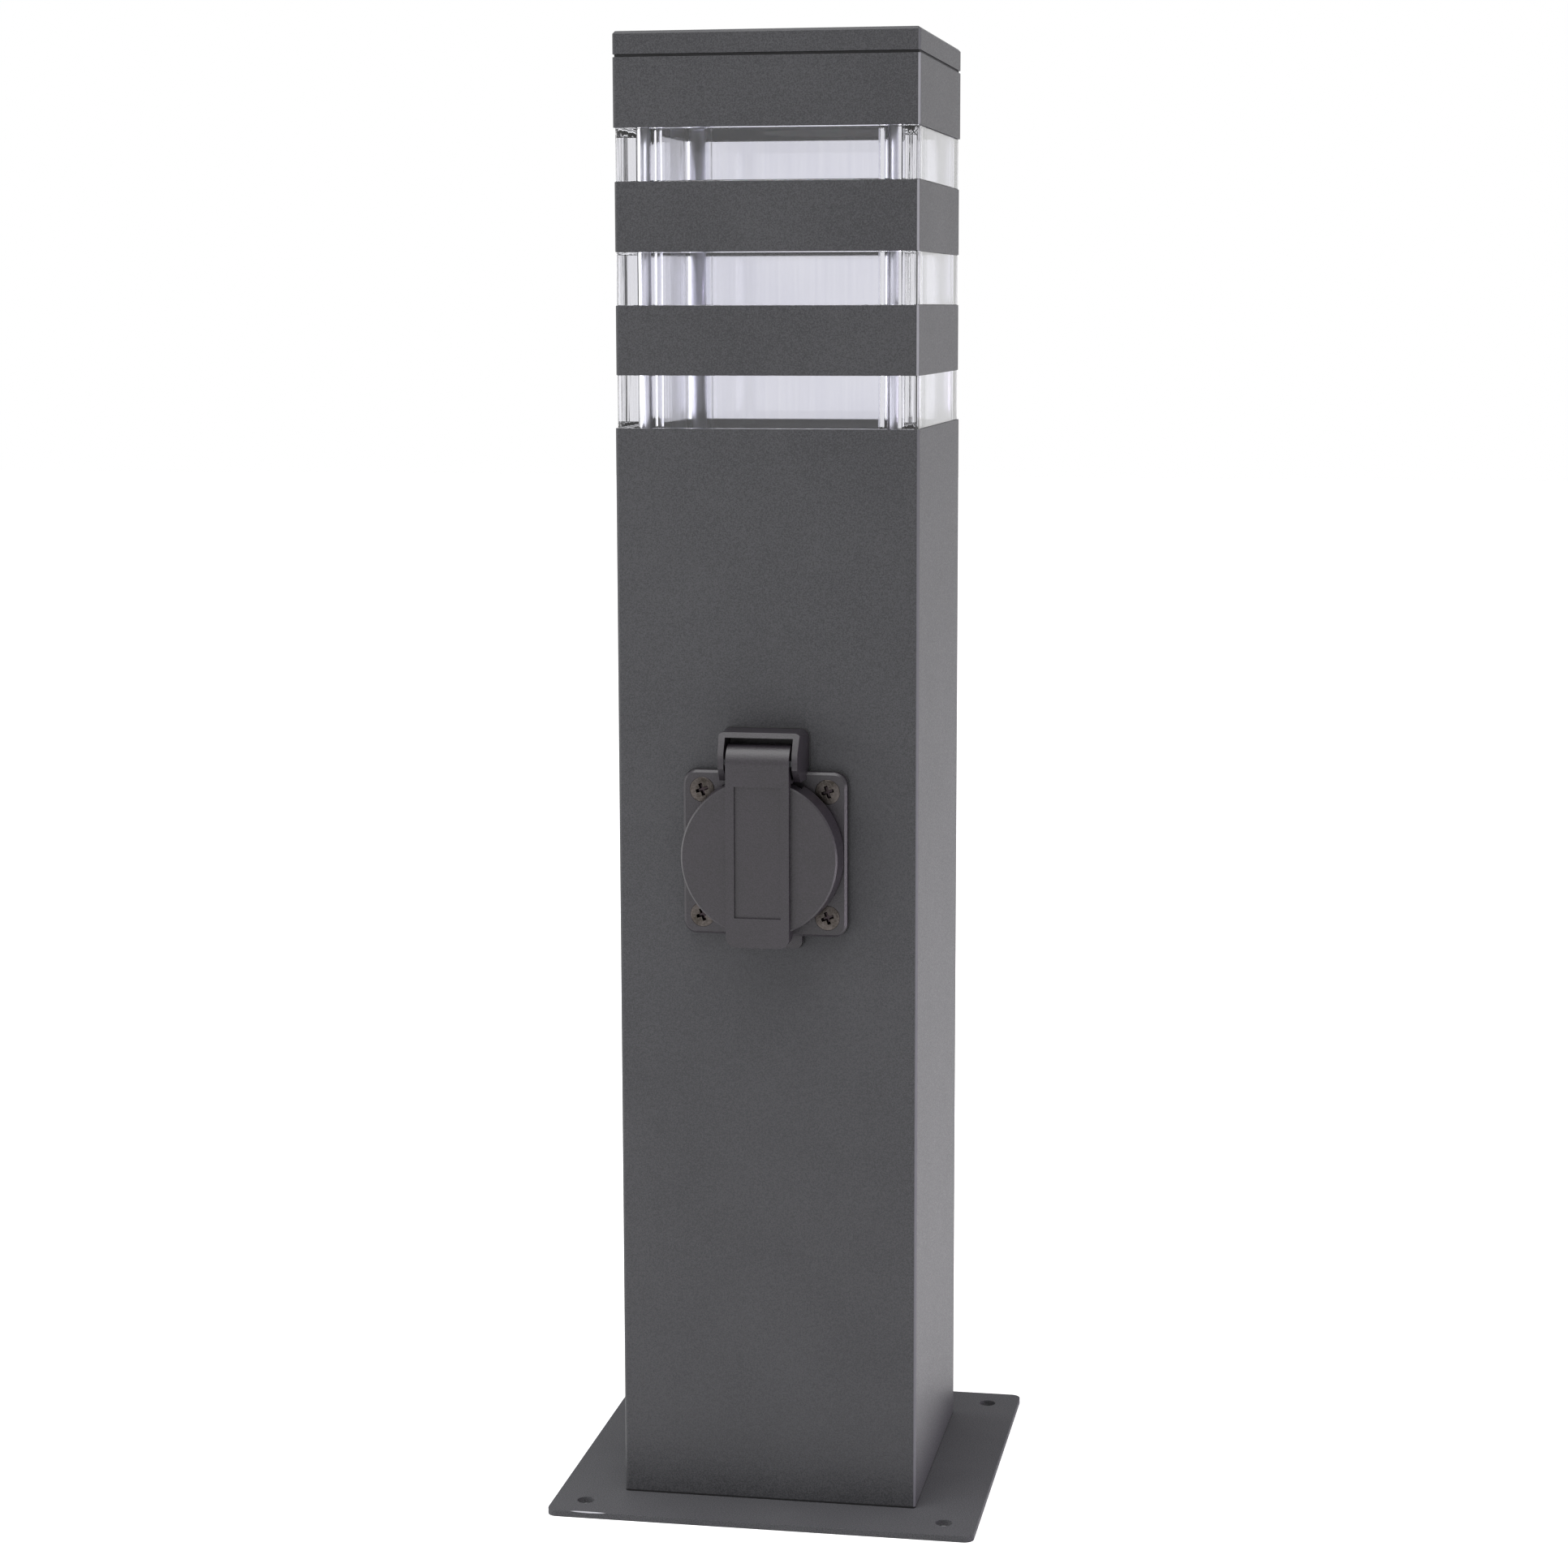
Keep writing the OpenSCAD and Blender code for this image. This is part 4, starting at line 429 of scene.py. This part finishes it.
def tube(path, radius, sides=12):
    """A round section carried along a path: point + radius * (cos(turn) * side + sin(turn) * up), ends drawn in."""
    step = np.gradient(path, axis=0)
    along = step / np.linalg.norm(step, axis=1, keepdims=True)
    side = np.array([1.0, 0, 0]) - along[:, :1] * along
    side /= np.linalg.norm(side, axis=1, keepdims=True)
    up = np.cross(along, side)
    turn = 2 * np.pi * np.arange(sides) / sides
    rings = path[:, None] + radius * (np.cos(turn)[:, None] * side[:, None] + np.sin(turn)[:, None] * up[:, None])
    centre = np.broadcast_to(path[:, None], rings.shape)
    return np.concatenate([centre[:1], rings, centre[-1:]])


hinge_up, hinge_out, wire_r, coil_r, coil_half, coil_turns, coil_points = 27.8, 10.3, 0.35, 2.3, 3.6, 5, 161
coil_turn = np.radians(np.linspace(-90, -90 + 360 * coil_turns, coil_points))
coil = np.stack([np.linspace(-coil_half, coil_half, coil_points), hinge_up + coil_r * np.sin(coil_turn),
                 hinge_out + coil_r * np.cos(coil_turn)], -1)
leg_up, leg_out, hook_r, hook_tip = hinge_up - coil_r, hinge_out + 1, 0.6, 0.75
hook_turn = np.radians([[0], [30], [60]])
hook = [-coil_half, leg_up + hook_r, hinge_out] - hook_r * np.concatenate(
    [0 * hook_turn, np.sin(hook_turn), np.cos(hook_turn)], 1)
hook = np.concatenate([hook[:1] + [[0, hook_tip, 0], [0, hook_tip / 2, 0]], hook])
front_leg = [[coil_half, leg_up, leg_out], [coil_half, leg_up, leg_out + 0.9]]
wire = on_socket(np.concatenate([hook, coil, front_leg]))
spring = surface("coiled_lid_spring", [tube(wire, wire_r, 10)], stainless, ["lid_spring"], body=None)
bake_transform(spring)

# Junction box: moulded grey polypropylene against the post's back wall, with its lid, screws, rivets, black cable
# glands and a white terminal block.
grey_plastic = mottled("moulded_grey_polypropylene", "#868a8f", "#94989d", 0.4, 15, 0.04, {"Roughness": 0.55})
rounded("junction_box", grey_plastic, 0.4)
rounded("junction_lid", grey_plastic, 0.4)
rounded("junction_screws", stainless, 0.2)
rounded("box_rivets", rivet_metal, 0.4)
rounded("supply_gland", black_plastic, 0.4)
rounded("lead_glands", black_plastic, 0.4)
rounded("terminal_block", white_plastic, 0.4)

# Leads: stranded copper in soft PVC, brown, blue and green with a yellow stripe, from the terminal block to the
# socket; and two white sheathed leads, to the driver and up through the hollow rod to the lamp.
wire_insulation_r, driver_sheath_r, lamp_sheath_r, curve_steps = 1.4, 2.2, 1.2, 8


def insulation(name, colour, stripe=None):
    """Soft PVC, one colour all through; a stripe covers the part of the section where turn passes 0.6."""
    material = mottled(name, colour, colour, 0.5, 15, 0.02, {"Roughness": 0.42})
    if stripe:
        turn = add(material, "ShaderNodeAttribute", {"attribute_name": "turn"}).outputs["Fac"]
        side = add(material, "ShaderNodeMath", {"operation": "GREATER_THAN", 1: 0.6}, {0: turn})
        tinted(material, side.outputs[0], stripe)
    return material


gland_y, pole_y, pole_top, box_top, earth_drop = 26, 34, 102, 130, 9
for i, node, slot, tint, stripe in ((-1, "lead_live", "brown_insulation", "#6b4226", None),
                                    (0, "lead_earth", "green_insulation", "#4f8a34", "#d8c832"),
                                    (1, "lead_neutral", "blue_insulation", "#2f5fa8", None)):
    pole_x, gland_x, end_x, end_z = 10 * i, 4.6 * i - 14, 9.5 * i, socket_up - earth_drop * (i == 0)
    route = [[pole_x, pole_y, pole_top], [pole_x, pole_y, pole_top + 2.5], [pole_x, pole_y, pole_top + 5],
             [(pole_x + gland_x) / 2, (pole_y + gland_y) / 2, box_top - 17], [gland_x, gland_y, box_top - 8],
             [gland_x, gland_y, box_top - 5], [gland_x, gland_y, box_top + 12.5], [gland_x, gland_y, box_top + 16],
             [gland_x, gland_y - 4, box_top + 36], [(gland_x + end_x) / 2, 6, end_z - 9], [end_x, -6, end_z],
             [end_x, -12, end_z], [end_x, -18, end_z]]
    surface(node + "_wire", [tube(curve(route, curve_steps), wire_insulation_r)],
            insulation(node + "_pvc", tint, stripe), [node])

white_pvc = insulation("white_sheath_pvc", "#d9d9d4")
driver_route = [[17, 34, 102], [17, 34, 105], [17, 34, 108], [14, 26, 122], [14, 26, 125], [14, 26, 142.5],
                [14, 26, 147], [14, 28, 174], [11, 30, 190], [10, 30, 204], [10, 30, 209], [10, 30, 214]]
lamp_route = [[-8, 30, 276], [-8, 30, 279], [-8, 30, 282], [-18, 32, 291], [-30.5, 34.5, 295.85],
              [-36.5, 36.5, 305.85], [-36.5, 36.5, 309.85], [-36.5, 36.5, 369.05], [-36.5, 36.5, 423.25],
              [-36.5, 36.5, 426.75], [-33, 33, 432.25], [-22, 22, 434.25], [-11, 11, 432.75], [-8, 8, 428.75],
              [-8, 8, 426.25], [-8, 8, 424.75]]
surface("driver_lead_sheath", [tube(curve(driver_route, curve_steps), driver_sheath_r)],
        white_pvc, ["driver_lead"])
surface("lamp_lead_sheath", [tube(curve(lamp_route, curve_steps), lamp_sheath_r)],
        white_pvc, ["lamp_lead"])

# Floor, light and camera: a white floor in a white room, with a large light overhead, one in front, low ones at the
# left front and the right, and a white wall at the left. The floor glows more with distance, so that it is white
# everywhere but in the object's own soft shadow. Under the plate, where the bolt holes show it, it is dark.
floor_half, glow_start, glow_full, covered_half = 6000, 60, 300, plate_half - 2


def seen_directly(material):
    """1 for rays from the camera or a mirror, 0.77 for those through clear plastic, 0 for rays that give light."""
    path = add(material, "ShaderNodeLightPath")
    clear_ray = add(material, "ShaderNodeMath", {"operation": "MAXIMUM"},
                    {0: path.outputs["Is Camera Ray"], 1: path.outputs["Is Transmission Ray"]})
    seen = add(material, "ShaderNodeMath", {"operation": "MAXIMUM"},
               {0: clear_ray.outputs[0], 1: path.outputs["Is Glossy Ray"]})
    share = add(material, "ShaderNodeMapRange", {"To Min": 1.0, "To Max": 0.77},
                {"Value": path.outputs["Is Transmission Ray"]})
    return add(material, "ShaderNodeMath", {"operation": "MULTIPLY"},
               {0: seen.outputs[0], 1: share.outputs["Result"]}).outputs[0]


floor_mesh = bpy.data.meshes.new("floor")
floor_corners = np.array([(-1, -1, 0), (1, -1, 0), (1, 1, 0), (-1, 1, 0)]) * floor_half * MM
floor_mesh.from_pydata(floor_corners.tolist(), [], [(0, 1, 2, 3)])
floor = bpy.data.objects.new("floor", floor_mesh)
bpy.context.scene.collection.objects.link(floor)
floor_paint = bpy.data.materials.new("white_floor")
floor_paint.use_nodes = True
floor_shader = floor_paint.node_tree.nodes["Principled BSDF"]
floor_shader.inputs["Base Color"].default_value = linear("#f0f0f0")
floor_shader.inputs["Roughness"].default_value = 0.9
floor_shader.inputs["Specular IOR Level"].default_value = 0.0
floor_shader.inputs["Emission Color"].default_value = (1, 1, 1, 1)
floor_place = add(floor_paint, "ShaderNodeTexCoord").outputs["Object"]
floor_reach = add(floor_paint, "ShaderNodeVectorMath", {"operation": "LENGTH"}, {0: floor_place}).outputs["Value"]
glow = add(floor_paint, "ShaderNodeMapRange",
           {"From Min": glow_start * MM, "From Max": glow_full * MM, "To Min": 0.7, "To Max": 1.0},
           {"Value": floor_reach}).outputs["Result"]
uncovered = add(floor_paint, "ShaderNodeMath", {"operation": "GREATER_THAN", 1: covered_half * MM},
                {0: off_middle(floor_paint, floor_place)})
mirrored = add(floor_paint, "ShaderNodeLightPath").outputs["Is Glossy Ray"]
full_glow = add(floor_paint, "ShaderNodeMath", {"operation": "MAXIMUM"}, {0: glow, 1: mirrored})
open_glow = add(floor_paint, "ShaderNodeMath", {"operation": "MULTIPLY"},
                {0: full_glow.outputs[0], 1: uncovered.outputs[0]})
shown = add(floor_paint, "ShaderNodeMath", {"operation": "MULTIPLY"},
            {0: open_glow.outputs[0], 1: seen_directly(floor_paint)})
floor_paint.node_tree.links.new(shown.outputs[0], floor_shader.inputs["Emission Strength"])
floor_mesh.materials.append(floor_paint)

room = bpy.data.worlds.new("white_room")
bpy.context.scene.world = room
room.use_nodes = True
walls = room.node_tree.nodes["Background"]
walls.inputs["Color"].default_value = (1, 1, 1, 1)
level = add(room, "ShaderNodeMapRange", {"To Min": 0.21, "To Max": 1.0}, {"Value": seen_directly(room)})
room.node_tree.links.new(level.outputs["Result"], walls.inputs["Strength"])


def facing(back, up, place):
    """The matrix that stands a lamp or camera at place: side is up x back, and it looks against back."""
    back = np.array(back) / np.linalg.norm(back)
    side = np.cross(up, back)
    side /= np.linalg.norm(side)
    turn = np.stack([side, np.cross(back, side), back], 1)
    return Matrix([[*row, at] for row, at in zip(turn, place)] + [[0, 0, 0, 1]])


def soft_box(name, place, target, size, power, colour=(1, 1, 1)):
    """A square area light at place, turned to face target."""
    data = bpy.data.lights.new(name, "AREA")
    data.size, data.energy, data.color = size, power, colour
    lamp = bpy.data.objects.new(name, data)
    bpy.context.scene.collection.objects.link(lamp)
    lamp.matrix_world = facing(np.subtract(place, target), (0, 0, 1), place)


soft_box("top_box", (-0.1, -0.35, 1.7), (0, 0, 0), 1.2, 18)
soft_box("front_box", (-0.3, -1.1, 1.3), (0, 0, 0.2), 0.7, 3)
soft_box("foot_box", (-0.62, -0.55, 0.2), (0, 0, 0.1), 0.4, 1.2)
soft_box("foot_right_box", (0.5, 0, 0.08), (0, 0, 0.03), 0.2, 0.9, (1.0, 0.87, 1.04))
soft_box("left_wall", (-1.2, -0.1, 0.4), (0, -0.1, 0.4), 0.8, 3.5)

# The camera stands where a fit to the corners of plate, post, bands and cap puts it.
camera_data = bpy.data.cameras.new("camera")
camera_data.lens, camera_data.sensor_width = 75.30, 36.0
camera = bpy.data.objects.new("camera", camera_data)
bpy.context.scene.collection.objects.link(camera)
bpy.context.scene.camera = camera
camera.matrix_world = facing((0.17753, -0.97352, 0.14398), (-0.02364, 0.14205, 0.98958),
                             (0.17698, -0.98759, 0.36215))
bpy.context.scene.view_settings.view_transform = "Standard"
